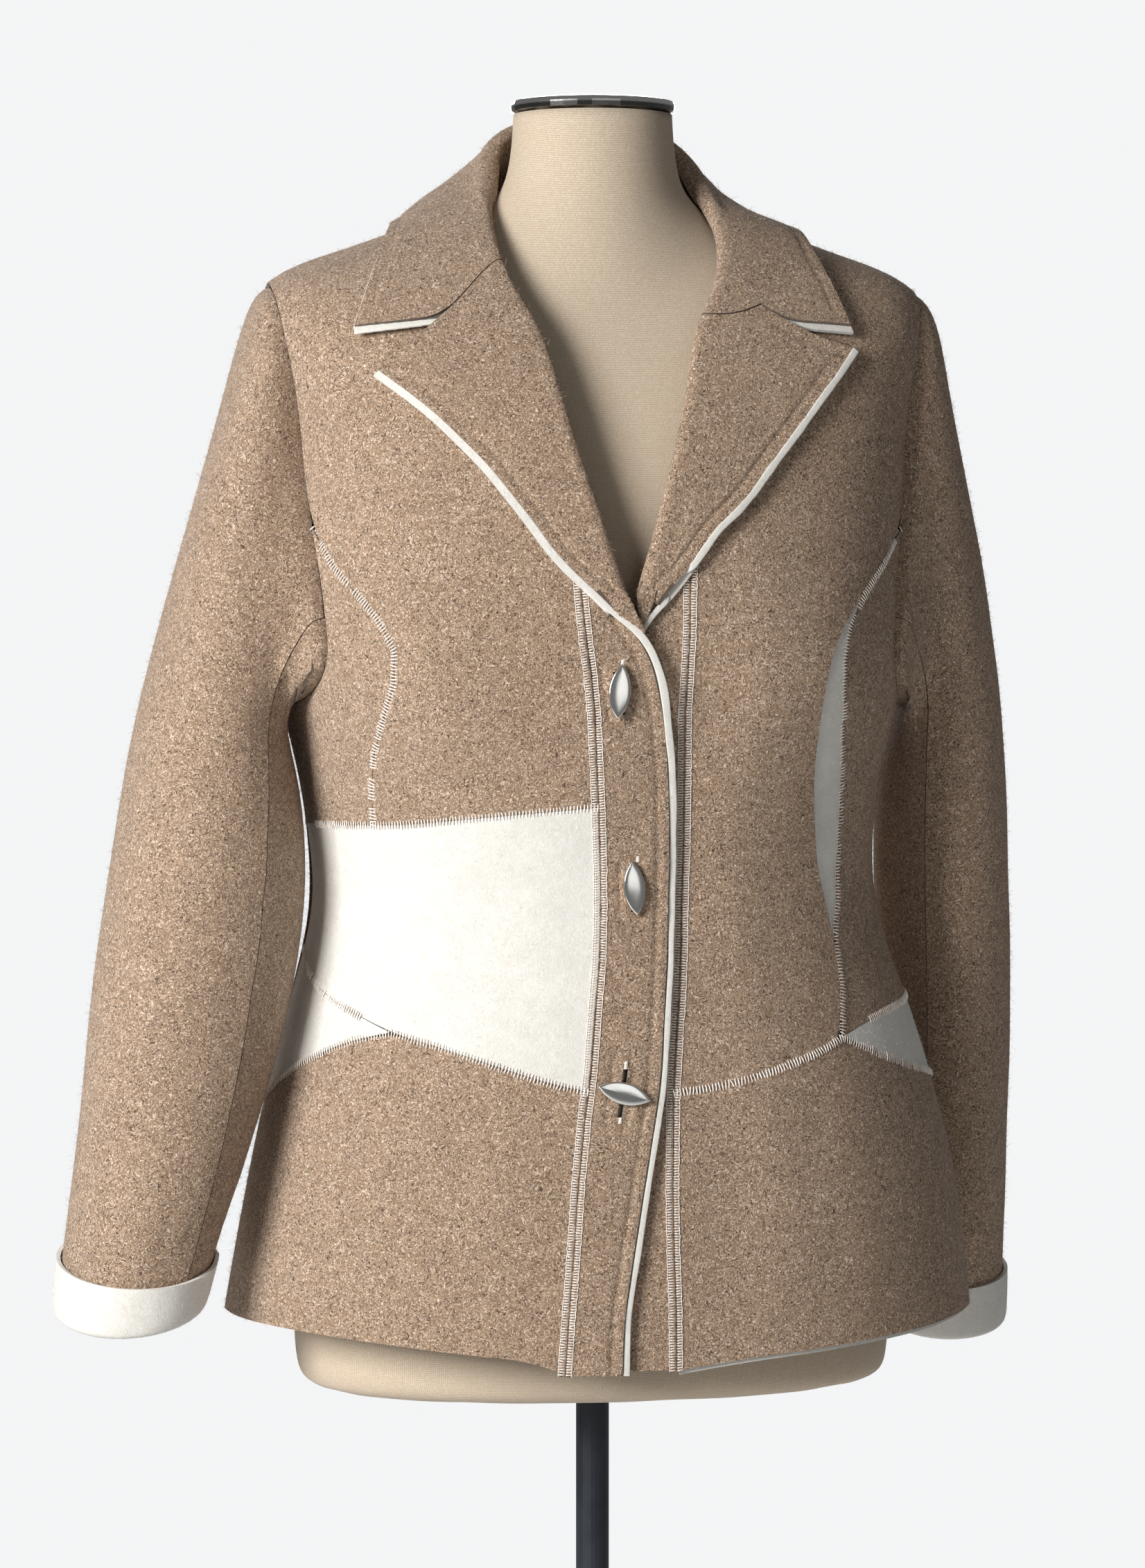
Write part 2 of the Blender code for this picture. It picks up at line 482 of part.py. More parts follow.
def pulled_in(net, gap):
    """The net with its four edges drawn in by a gap, so that a seam stays open."""
    net = net.copy()
    moved = net.copy()
    for axis in (0, 1):
        lines = np.moveaxis(net, axis, 0)
        target = np.moveaxis(moved, axis, 0)
        for edge, inner in ((0, 1), (-1, -2)):
            along = unit(np.gradient(lines[edge], axis=0))
            inwards = lines[inner] - lines[edge]
            inwards -= along * np.sum(inwards * along, -1, keepdims=True)
            target[edge] += unit(inwards) * gap
    return moved


def face_out(build):
    """Turn every face of a closed mesh so that it points outwards."""
    bmesh.ops.recalc_face_normals(build, faces=build.faces)
    if build.calc_volume(signed=True) < 0:
        bmesh.ops.reverse_faces(build, faces=build.faces)


def wall(name, outer, inner, colour, skip=(), roughness=0.95):
    """A piece of cloth between an outer and an inner net of points."""
    columns = outer.shape[0] - 1
    rows = outer.shape[1] - 1
    build = bmesh.new()
    mark = build.verts.layers.int.new("place")
    bmesh.ops.create_grid(build, x_segments=columns, y_segments=rows, size=0.5)
    for vertex in build.verts:
        i = round((vertex.co.x + 0.5) * columns)
        j = round((vertex.co.y + 0.5) * rows)
        vertex[mark] = i * (rows + 1) + j
    holes = {i * (rows + 1) + j for i, j in skip}
    cut = [face for face in build.faces if min(vertex[mark] for vertex in face.verts) in holes]
    if cut:
        bmesh.ops.delete(build, geom=cut, context="FACES")
    made = bmesh.ops.extrude_face_region(build, geom=build.faces[:], use_keep_orig=True)
    back = {item for item in made["geom"] if isinstance(item, bmesh.types.BMVert)}
    for vertex in build.verts:
        i, j = divmod(vertex[mark], rows + 1)
        vertex.co = inner[i, j] if vertex in back else outer[i, j]
    face_out(build)
    build.verts.layers.int.remove(mark)
    return dressed(name, build, colour, roughness)


def panel(name, net, colour, side_drop=False, sink=0.0, thick=WALL, skip=()):
    """A panel of the coat's torso from a net of (angle, level) points."""
    angle = net[..., 0]
    level = net[..., 1]
    depth = sink + (left_drop(angle, level) if side_drop else 0.0)
    points = pulled_in(lay(angle, level, -depth * np.ones_like(angle)), SEAM)
    return wall(name, points, points - outward(angle, level) * thick, colour, skip)


def net_normals(net):
    """Unit vectors out of a net of points, whose columns run round and rows run outwards."""
    return unit(np.cross(np.gradient(net, axis=0), np.gradient(net, axis=1)))


def loft(name, rings, colour, roughness, metallic=0.0, smooth=35.0):
    """A closed solid through rings of points, with a flat face on each end."""
    build = bmesh.new()
    count = len(rings[0])
    mark = build.verts.layers.int.new("place")
    loop = bmesh.ops.create_circle(build, cap_ends=True, segments=count, radius=1.0)["verts"]
    for index, vertex in enumerate(loop):
        vertex[mark] = index
        vertex.co = rings[0][index]
    edges = build.edges[:]
    for ring in rings[1:]:
        made = bmesh.ops.extrude_edge_only(build, edges=edges)["geom"]
        for item in made:
            if isinstance(item, bmesh.types.BMVert):
                item.co = ring[item[mark]]
        new = {item for item in made if isinstance(item, bmesh.types.BMVert)}
        edges = [item for item in made
                 if isinstance(item, bmesh.types.BMEdge) and set(item.verts) <= new]
    bmesh.ops.contextual_create(build, geom=edges)
    face_out(build)
    build.verts.layers.int.remove(mark)
    return dressed(name, build, colour, roughness, metallic, smooth)


def turned(name, profile, colour, roughness, metallic, segments=36):
    """A round piece about the pole's line, from (radius, z) rows, with flat ends."""
    turns = np.linspace(0, 2 * np.pi, segments, endpoint=False)
    rings = []
    for radius, z in profile:
        rings.append(np.stack([radius * np.cos(turns), radius * np.sin(turns),
                               np.full(segments, z)], -1))
    return loft(name, rings, colour, roughness, metallic, 30.0)


def angle_for(x, level):
    """The angle on the coat's front that has an x at a level."""
    row = through(column(TORSO, 0), [entry[4:] for entry in TORSO], level)
    half = row[..., 0]
    square = row[..., 3]
    shift = row[..., 4]
    share = (np.asarray(x, float) - shift) / half
    return np.degrees(np.arcsin(np.sign(share) * np.abs(share) ** (square / 2)))


def band_edge(table, level, side):
    """The angle of a band's free edge, which runs on up as the neck edge."""
    neck = np.array(NECK_EDGE)[:V_ROWS]
    above = through(neck[:, 1], neck[:, 0], np.maximum(level, neck[0, 1])) * side
    below = angle_on(table, np.minimum(level, table[-1][0]))
    return np.where(np.asarray(level) > neck[0, 1], above, below)


def levels_run(seam, levels):
    """Points (angle, level) along an upright seam at the given levels."""
    levels = np.asarray(levels, float)
    return np.stack([angle_on(seam, levels), levels], -1)


def princess_line(seam, start, levels, side, crescent=None):
    """Points (angle, level) up a princess seam to the armhole, round the crescent if it is given."""
    points = levels_run(seam, [start[1], *levels])
    if crescent:
        inside = (points[:, 1] > crescent[0][0] - 1e-6) & (points[:, 1] < crescent[-1][0] + 1e-6)
        points[inside, 0] = angle_on(crescent, points[inside, 1])
    return np.concatenate([points, armhole([FRONT_TURNS[-1]], side)])


def build_front(side, waist, band_seam, princess, hip_seam, gusset_edge, apex, levels):
    """The panels of one front that the two sides share: upper, side, skirt and hip gusset."""
    name = "left" if side > 0 else "right"
    drop = side > 0
    side_angle = 90.0 * side
    base_seam = waist if waist else hip_seam
    skirt_levels, upper_levels, princess_levels = levels
    inner_low = crossing(band_seam, base_seam)
    hip_start = crossing(band_seam, hip_seam)
    hem_start = crossing(band_seam, FRONT_HEM)
    split = crossing(princess, base_seam)
    low_inner = level_run(base_seam, inner_low[0], split[0], UPPER_COLUMNS)
    low_outer = level_run(base_seam, split[0], side_angle, SIDE_COLUMNS)
    side_seam_line = princess_line(princess, split, princess_levels, side)
    front_line = princess_line(princess, split, princess_levels, side,
                               CRESCENT_EDGE if side > 0 else None)
    armhole_front = armhole(FRONT_TURNS[::-1], side)
    neck = neck_run(neck_place(BAND_TOP_ANGLE), neck_place(90.0), NECK_ROWS, side)
    seam = join(levels_run(band_seam, [inner_low[1], *upper_levels]),
                np.stack([neck[0], neck[0]]))
    shoulder = run([neck[-1], armhole_front[-1]], UPPER_COLUMNS)
    net = patch(low_inner, shoulder, join(seam, neck), join(front_line, armhole_front))
    panel(name + "_front_upper", net, TAUPE, drop)
    side_low = base_seam[0][1] if side < 0 else base_seam[-1][1]
    side_line = run([(side_angle, side_low), armhole(180, side)], len(side_seam_line) - 1)
    underarm = armhole(UNDERARM_TURNS, side)
    net = patch(low_outer, underarm, side_seam_line, side_line)
    panel(name + "_side_front", net, TAUPE, drop)
    hip_inner = level_run(hip_seam, hip_start[0], apex, UPPER_COLUMNS)
    hip_outer = level_run(hip_seam, apex, side_angle, SIDE_COLUMNS)
    gusset = level_run(gusset_edge, apex, side_angle, SIDE_COLUMNS)
    high = join(hip_inner, gusset)
    low = level_run(FRONT_HEM, hem_start[0], side_angle, UPPER_COLUMNS + SIDE_COLUMNS)
    inner_side = levels_run(band_seam, [hem_start[1], *skirt_levels, hip_start[1]])
    outer_side = run([low[-1], high[-1]], len(inner_side) - 1)
    panel(name + "_front_skirt", patch(low, high, inner_side, outer_side), TAUPE, drop)
    tip = GUSSET_TIP
    gusset = gusset + np.array([0.0, GUSSET_GAP])
    gusset[0] = gusset[0] * (1 - tip) + gusset[1] * tip
    gusset_top = hip_outer.copy()
    gusset_top[0] = gusset_top[0] * (1 - tip) + gusset_top[1] * tip
    panel(name + "_hip_gusset", patch(gusset, gusset_top, run([gusset[0], gusset_top[0]], 2),
                                      run([gusset[-1], gusset_top[-1]], 2)), IVORY, drop)
    return low_inner, low_outer, hip_inner, hip_outer, inner_side, seam


def build_waist_panel(low_inner, low_outer, hip_inner, hip_outer):
    """The pale panel across the wearer's right waist."""
    low = join(hip_inner, hip_outer)
    high = join(low_inner, low_outer)
    inner_side = levels_run(RIGHT_BAND_SEAM, [low[0, 1], *RIGHT_WAIST_LEVELS, high[0, 1]])
    outer_side = run([low[-1], high[-1]], len(inner_side) - 1)
    panel("right_waist_panel", patch(low, high, inner_side, outer_side), IVORY)


def build_crescent():
    """The pale crescent beside the wearer's left princess seam, sunk under its raw edge."""
    levels = np.array([level for level in LEFT_PRINCESS_LEVELS
                       if CRESCENT_EDGE[0][0] - 1e-6 < level < CRESCENT_EDGE[-1][0] + 1e-6])
    inner = angle_on(CRESCENT_EDGE, levels)
    outer = angle_on(LEFT_PRINCESS, levels)
    share = np.linspace(0, 1, 3)[:, None]
    angle = inner + (outer - inner) * share
    net = np.stack([angle, np.broadcast_to(levels, angle.shape)], -1)
    panel("left_crescent", net, IVORY, True, sink=CRESCENT_SINK, thick=LAYER)


def build_back(side):
    """One half of the back, from the centre back seam to the side seam and the armhole."""
    name = "back_left" if side > 0 else "back_right"
    hem = np.stack([np.linspace(180, 90, BACK_COLUMNS + 1) * side,
                    np.linspace(BACK_HEM, FRONT_HEM[-1 if side > 0 else 0][1],
                                BACK_COLUMNS + 1)], -1)
    side_line = run([hem[-1], armhole(180, side)], BACK_SIDE_ROWS)
    armhole_back = armhole(BACK_TURNS, side)
    neck = neck_run(1.0, neck_place(90.0), BACK_NECK_COLUMNS, side)
    shoulder = run([neck[-1], armhole_back[-1]], BACK_COLUMNS - BACK_NECK_COLUMNS)
    centre = run([hem[0], neck[0]], BACK_SIDE_ROWS + len(armhole_back) - 1)
    net = patch(hem, join(neck, shoulder), centre, join(side_line, armhole_back))
    panel(name, relaxed(net, RELAX_ROUNDS), TAUPE)


def band_net(seam, edge, side, levels, shares):
    """Points (angle, level) over a front band, for shares of its width at each level."""
    seam_angle = np.interp(levels, seam[:, 1], seam[:, 0])
    edge_angle = band_edge(edge, levels, side)
    angle = seam_angle + (edge_angle - seam_angle) * shares
    return np.stack([angle, np.broadcast_to(levels, angle.shape)], -1)


def slit_ends():
    """The level of each end of each buttonhole."""
    ends = []
    for level, _, _ in BUTTONS:
        ends += [level - SLIT_LENGTH / 2, level + SLIT_LENGTH / 2]
    return ends


def build_bands(right_seam, left_seam):
    """The two front bands, the right one over the left, from their seams' (angle, level) points."""
    ends = slit_ends()
    top = RIGHT_BAND_SEAM[-1][0]
    levels = [level for level in right_seam[:, 1] if level < top + 1e-6]
    levels = [level for level in levels if min(abs(level - end) for end in ends) > 0.004]
    levels = np.array(sorted([BAND_HEM, *levels[1:], *ends, *EDGE_LEVELS]))
    middle = through([row[0] for row in BUTTONS[::-1]], [row[1] for row in BUTTONS[::-1]],
                     np.clip(levels, BUTTONS[-1][0], BUTTONS[0][0]))
    half = SLIT_WIDTH / 2 / BAND_WIDTH
    shares = np.stack([0 * middle, middle * 0.5, middle - half, middle + half,
                       (1 + middle) * 0.5, 0 * middle + 1])
    skip = []
    for low, high in zip(ends[::2], ends[1::2]):
        inside = (levels[:-1] > low - 1e-6) & (levels[1:] < high + 1e-6)
        skip += [(2, int(row)) for row in np.nonzero(inside)[0]]
    net = band_net(right_seam, RIGHT_BAND_EDGE, -1, levels, shares)
    panel("right_front_band", net, TAUPE, skip=skip)
    left_levels = [level for level in left_seam[:, 1] if level < top + 1e-6]
    left_levels = np.array(sorted([BAND_HEM + 0.002, *left_levels[1:], *EDGE_LEVELS]))
    left_shares = np.linspace(0, 1, 5)[:, None] * np.ones_like(left_levels)
    left_net = band_net(left_seam, LEFT_BAND_EDGE, 1, left_levels, left_shares)
    panel("left_front_band", left_net[::-1], TAUPE, True)
    build_facing(levels[levels < FACING_TOP])


def build_facing(levels):
    """The pale strip that shows beside the free edge of the right band."""
    edge = band_edge(RIGHT_BAND_EDGE, levels, -1)
    line = body(edge, levels)
    along = unit(np.gradient(line[:, [0, 2]], levels, axis=0))
    reach = np.array([-FACING_HIDDEN, -0.0025, STRIP])[:, None]
    level = levels - reach * along[:, 0]
    angle = angle_for(line[:, 0] + reach * along[:, 1], level)
    net = np.stack([angle, level], -1)
    panel("right_facing", net, IVORY, sink=FACING_DROP + LAYER_GAP, thick=LAYER)


def build_hem_strip():
    """The pale edge that shows under the wearer's left hem."""
    start = crossing(LEFT_BAND_SEAM, FRONT_HEM)[0] + 0.6
    edge = level_run(FRONT_HEM, start, 90.0, UPPER_COLUMNS + SIDE_COLUMNS)
    shift = np.array([-HEM_STRIP_SHOWS, 0.004, HEM_STRIP_HIDDEN])
    net = np.stack([np.repeat(edge[:, :1], 3, 1), edge[:, 1:] + shift], -1)
    panel("left_hem_strip", net, IVORY, True, sink=FACING_DROP, thick=LAYER)


def turn_down(net, drop, lift):
    """The shown side of a piece that rolls over the neck edge, from inside it to its outer edge.

    net holds (angle, level) points: its rows start on the neck edge and end at the outer edge.
    """
    angle = net[..., 0]
    level = net[..., 1]
    sunk = left_drop(angle, level) if drop else np.zeros_like(angle)
    root = lay(angle[:, 0], level[:, 0], -sunk[:, 0])
    normal = outward(angle[:, 0], level[:, 0])
    along = unit(np.gradient(root, axis=0))
    away = unit(np.cross(normal, along))
    flat = lay(angle, level, LAPEL_LIFT + lift - sunk)
    away *= -np.sign(np.sum(away * (flat[:, 2] - flat[:, 0]), -1))[:, None]
    turn = np.abs(angle[:, 0])
    stand = ease((turn - 40.0) / 14.0)[:, None]
    upright = ease((turn - 46.0) / 44.0)[:, None]
    radius = ROLL_RADIUS + (CREST_RADIUS - ROLL_RADIUS) * upright
    crest = through(column(CREST, 0), [row[1:] for row in CREST], np.maximum(turn, CREST[0][0]))
    crest = crest * np.where(np.abs(angle[:, :1]) < 179.99, np.sign(angle[:, :1]), 0.0) \
        * np.array([1.0, 0.0, 0.0]) + crest * np.array([0.0, 1.0, 1.0])
    edge = root + away * (EDGE_TO_ROLL + ROLL_RADIUS)
    edge = edge + (crest - edge) * stand
    rise = unit(away * (1 - upright) + np.array([0.0, 0.0, 1.0]) * upright)
    radial = root * np.array([1.0, 1.0, 0.0])
    face = normal * (1 - upright) + unit(radial) * upright
    face = unit(face - rise * np.sum(face * rise, -1, keepdims=True))
    centre = edge - rise * radius
    under = root - normal * (ROLL_RADIUS + 0.0001 + STAND_SINK * stand)
    points = [under - away * TURN_IN * (1 - 0.5 * stand),
              under + away * (EDGE_TO_ROLL + STAND_ROOM * stand - (1 - stand) * TURN_IN / 2)]
    for turned_by in np.radians(np.linspace(180, 0, ROLL_STEPS + 1)):
        points.append(centre + (rise * math.sin(turned_by) + face * math.cos(turned_by)) * radius)
    shift = points[-1] - flat[:, 0]
    count = net.shape[1]
    for index in range(1, count):
        points.append(flat[:, index] + shift * (1 - index / (count - 1)) ** 1.2)
    return np.stack(points, 1)


def facing_out(net, normals):
    """The normals, turned so that they point away from the coat at the net's outer edge."""
    middle = len(net) // 2
    away = net[middle, -1] * np.array([1.0, 1.0, 0.0])
    return normals if np.dot(normals[middle, -2], away) > 0 else -normals


def layer(name, net, top, thick, colour):
    """A layer of cloth a given depth under a net of points."""
    normals = facing_out(net, net_normals(net))
    points = pulled_in(net - normals * top, SEAM)
    wall(name, points, points - normals * thick, colour)


def stretched(net, row_end, column_end):
    """The net with its last rows and columns moved outwards, to show past the layer above."""
    net = net.copy()
    net[:, -1] += unit(net[:, -1] - net[:, -2]) * row_end
    net[-1] += unit(net[-1] - net[-2]) * column_end
    return net


def build_lapel(side):
    """One lapel: the top layer that rolls over the neck edge, and the pale layer under it."""
    name = "left" if side > 0 else "right"
    if side > 0:
        edge, top, gorge, gorge_start = (LEFT_LAPEL_EDGE, LEFT_LAPEL_TOP, LEFT_GORGE,
                                         LEFT_GORGE_START)
    else:
        edge, top, gorge, gorge_start = (RIGHT_LAPEL_EDGE, RIGHT_LAPEL_TOP, RIGHT_GORGE,
                                         RIGHT_GORGE_START)
    start_place = neck_place(LEFT_START if side > 0 else RIGHT_START)
    neck = neck_run(start_place, neck_place(gorge_start), LAPEL_ROWS, side)
    outer = run(edge, LAPEL_ROWS)
    seam = run([neck[-1], *gorge], GORGE_COLUMNS)
    high = join(seam, run(top, LAPEL_COLUMNS - GORGE_COLUMNS))
    low = run([neck[0], outer[0]], LAPEL_COLUMNS)
    net = np.moveaxis(patch(low, high, neck, outer), 0, 1)
    surface = turn_down(net, side > 0, 0.0)
    layer(name + "_lapel", surface, 0.0, LAYER, TAUPE)
    under = stretched(surface[:, -LAPEL_COLUMNS:], STRIP, 0.0)
    under[0] += unit(under[1] - under[0]) * LAPEL_TUCK
    under[-1] += unit(under[-2] - under[-1]) * GORGE_GAP
    layer(name + "_under_lapel", under, LAYER + LAYER_GAP, LAYER, IVORY)


def build_collar():
    """The collar, which stands up round the neck and turns down over the shoulders."""
    halves = []
    for side in (-1, 1):
        if side > 0:
            edge, front, gorge, gorge_start = (LEFT_COLLAR_EDGE, LEFT_COLLAR_FRONT, LEFT_GORGE,
                                               LEFT_GORGE_START)
        else:
            edge, front, gorge, gorge_start = (RIGHT_COLLAR_EDGE, RIGHT_COLLAR_FRONT,
                                               RIGHT_GORGE, RIGHT_GORGE_START)
        neck = neck_run(neck_place(gorge_start), 1.0, COLLAR_ROWS, side)
        outer = run(edge, COLLAR_ROWS)
        seam = run([neck[0], *gorge], GORGE_COLUMNS)
        low = join(seam, run(front, LAPEL_COLUMNS - GORGE_COLUMNS))
        high = run([neck[-1], outer[-1]], LAPEL_COLUMNS)
        net = np.moveaxis(patch(low, high, neck, outer), 0, 1)
        halves.append(turn_down(net, False, COLLAR_LIFT))
    surface = np.concatenate([halves[0], halves[1][-2::-1]])
    surface[0] += unit(surface[1] - surface[0]) * GORGE_GAP
    surface[-1] += unit(surface[-2] - surface[-1]) * GORGE_GAP
    layer("collar", surface, 0.0, LAYER, TAUPE)
    beyond_notch = np.clip(np.arange(LAPEL_COLUMNS) - GORGE_COLUMNS + 1.0, 0.0, 1.0)[:, None]
    under = surface[:, -LAPEL_COLUMNS:]
    under = stretched(under, BACK_STRIP, STRIP * beyond_notch)
    under = stretched(under[::-1], 0.0, STRIP * LEFT_NOTCH_STRIP * beyond_notch)[::-1]
    layer("under_collar", under, LAYER + LAYER_GAP, LAYER, IVORY)


def sleeve_net(table, side, rows, turns):
    """Points on the outside of a sleeve, for rows of its table and turns round it in degrees."""
    row = through(np.arange(len(table)), table, rows)
    outer_x, outer_z, inner_x, inner_z, middle, depth, square, tilt = \
        [row[:, index][None, :] for index in range(8)]
    cosine = np.cos(np.radians(turns))[:, None]
    sine = np.sin(np.radians(turns))[:, None]
    across = np.sign(cosine) * np.abs(cosine) ** (2 / square)
    forward = np.sign(sine) * np.abs(sine) ** (2 / square)
    x = (outer_x + inner_x) / 2 + (outer_x - inner_x) / 2 * across
    z = (outer_z + inner_z) / 2 + (outer_z - inner_z) / 2 * across - depth * tilt * forward
    y = middle - depth * forward
    points = np.stack([x * side, y, z], -1)
    seam = armhole(np.asarray(turns) % 360, side)
    root = lay(seam[:, 0], seam[:, 1], -ROOT_SINK)
    whole = armhole(np.arange(0, 360, 15), side)
    centre = body(whole[:, 0], whole[:, 1]).mean(axis=0)
    root = root + unit(centre - root) * ROOT_GAP
    base = through(np.arange(len(table)), table, np.zeros(1))[0]
    first_x = (base[0] + base[2]) / 2 + (base[0] - base[2]) / 2 * cosine[:, 0]
    first_z = (base[1] + base[3]) / 2 + (base[1] - base[3]) / 2 * cosine[:, 0]
    first = np.stack([first_x * side, base[4] - base[5] * sine[:, 0], first_z], -1)
    fade = 1 - ease(rows / ARMHOLE_FADE)
    points = points + (root - first)[:, None] * fade[None, :, None]
    head = ease(rows / 0.8) * (1 - ease(rows / CAP_PUFF_ROWS))
    spread = unit(root - centre)
    cap = ease(np.cos(np.radians(turns)) + 0.3)[:, None, None]
    lift = CAP_PUFF * head[None, :, None] * cap
    clear = ease(rows / 0.3) * (1 - ease(rows / CAP_PUFF_ROWS))
    clear = clear[None, :, None] * (UNDER_PUFF + (CAP_RISE - UNDER_PUFF) * cap)
    away = outward(seam[:, 0], seam[:, 1])
    return points + spread[:, None] * lift + away[:, None] * clear


def build_sleeve(side):
    """One sleeve in two pieces, with its end turned up as a cuff."""
    name = "left" if side > 0 else "right"
    table = LEFT_SLEEVE if side > 0 else RIGHT_SLEEVE
    last = len(table) - 1
    rows = np.array(SLEEVE_ROWS)
    before = UNDERARM_TURNS.index(SLEEVE_SEAM) + 1
    after = BACK_TURNS.index(360 - SLEEVE_SEAM)
    back_upper = [turn - 360 for turn in BACK_TURNS[after:-1]]
    upper = [*back_upper, *FRONT_TURNS, *UNDERARM_TURNS[1:before]]
    under = [*UNDERARM_TURNS[before - 1:], *BACK_TURNS[1:after + 1]]
    for piece, turns in (("upper", np.array(upper)), ("under", np.array(under))):
        net = sleeve_net(table, side, rows, turns)
        normals = sleeve_normals(table, side, rows, turns)
        points = pulled_in(net, SLEEVE_GAP)
        wall(name + "_sleeve_" + piece, points, points - normals * WALL, TAUPE)
    turns = np.array([*BACK_TURNS, *[turn + 360 for turn in FRONT_TURNS[1:]],
                      *[turn + 360 for turn in UNDERARM_TURNS[1:]]])
    end = sleeve_net(table, side, np.array([last - 0.5, last]), turns)
    normal = sleeve_normals(table, side, np.array([float(last)]), turns)[:, 0]
    down = unit(end[:, 1] - end[:, 0])
    normal = unit(normal - down * np.sum(normal * down, -1, keepdims=True))
    radius = WALL / 2 + CUFF_GAP + WALL
    middle = end[:, 1] - normal * (WALL / 2)
    top = np.array([last - CUFF_ROWS])
    section = [sleeve_net(table, side, top, turns)[:, 0]
               + sleeve_normals(table, side, top, turns)[:, 0] * (CUFF_GAP + WALL)]
    for turned_by in np.radians(np.linspace(0, 180, 5)):
        section.append(middle + (normal * math.cos(turned_by) + down * math.sin(turned_by)) * radius)
    section.append(middle - normal * radius - down * CUFF_INSIDE)
    net = np.stack(section, 1)
    normals = net_normals(net)
    outwards = np.sum(normals[:, 0] * normal, -1).mean()
    normals *= 1 if outwards > 0 else -1
    points = pulled_in(net, SEAM)
    wall(name + "_cuff", points, points - normals * WALL, IVORY)


def sleeve_normals(table, side, rows, turns):
    """Unit vectors out of a sleeve."""
    step = 0.12
    turn = 2.0
    low = np.maximum(rows - step, 0)
    high = np.minimum(rows + step, len(table) - 1)
    along = sleeve_net(table, side, high, turns) - sleeve_net(table, side, low, turns)
    around = sleeve_net(table, side, rows, turns + turn) - sleeve_net(table, side, rows,
                                                                      turns - turn)
    normals = unit(np.cross(around, along))
    table_row = through(np.arange(len(table)), table, rows)
    centre = np.stack([(table_row[:, 0] + table_row[:, 2]) / 2 * side, table_row[:, 4],
                       (table_row[:, 1] + table_row[:, 3]) / 2], -1)
    out = np.sum(normals * (sleeve_net(table, side, rows, turns) - centre[None]), -1)
    return normals * (1 if out.mean() > 0 else -1)


def build_button(index, level, share, turn):
    """A lens-shaped metal button with a shank that goes through its buttonhole."""
    seam_angle = angle_on(RIGHT_BAND_SEAM, level)
    angle = float(seam_angle + (band_edge(RIGHT_BAND_EDGE, level, -1) - seam_angle) * share)
    centre = lay(angle, level, BUTTON_STAND)
    normal = outward(angle, level)
    upright = unit(body(angle, level + 0.002) - body(angle, level - 0.002))
    sideways = np.cross(upright, normal)
    lean = math.radians(turn)
    long_way = upright * math.cos(lean) + sideways * math.sin(lean)
    short_way = np.cross(normal, long_way)
    half_long = BUTTON_LENGTH / 2
    half_wide = BUTTON_WIDTH / 2
    arc = (half_long ** 2 + half_wide ** 2) / (2 * half_wide)
    turns = np.linspace(0, 2 * np.pi, BUTTON_POINTS, endpoint=False)
    reach = half_long * np.cos(turns)
    width = np.sign(np.round(np.sin(turns), 9)) * (np.sqrt(arc ** 2 - reach ** 2) - (arc - half_wide))
    rings = []
    for scale, height in ((0.3, 1.0), (0.62, 0.78), (0.86, 0.36), (1.0, 0.0)):
        rings.append(centre + (long_way[None] * reach[:, None] + short_way[None] * width[:, None])
                     * scale + normal * (BUTTON_EDGE + BUTTON_DOME * height))
    rings.append(centre + (long_way[None] * reach[:, None] + short_way[None] * width[:, None]) * 0.96)
    shank = (long_way[None] * np.cos(turns)[:, None] + short_way[None] * np.sin(turns)[:, None])
    rings.append(centre + shank * SHANK_RADIUS)
    rings.append(centre + shank * SHANK_RADIUS - normal * (BUTTON_STAND + SHANK_REACH))
    loft("button_%d" % index, rings, NICKEL, 0.3, 1.0)


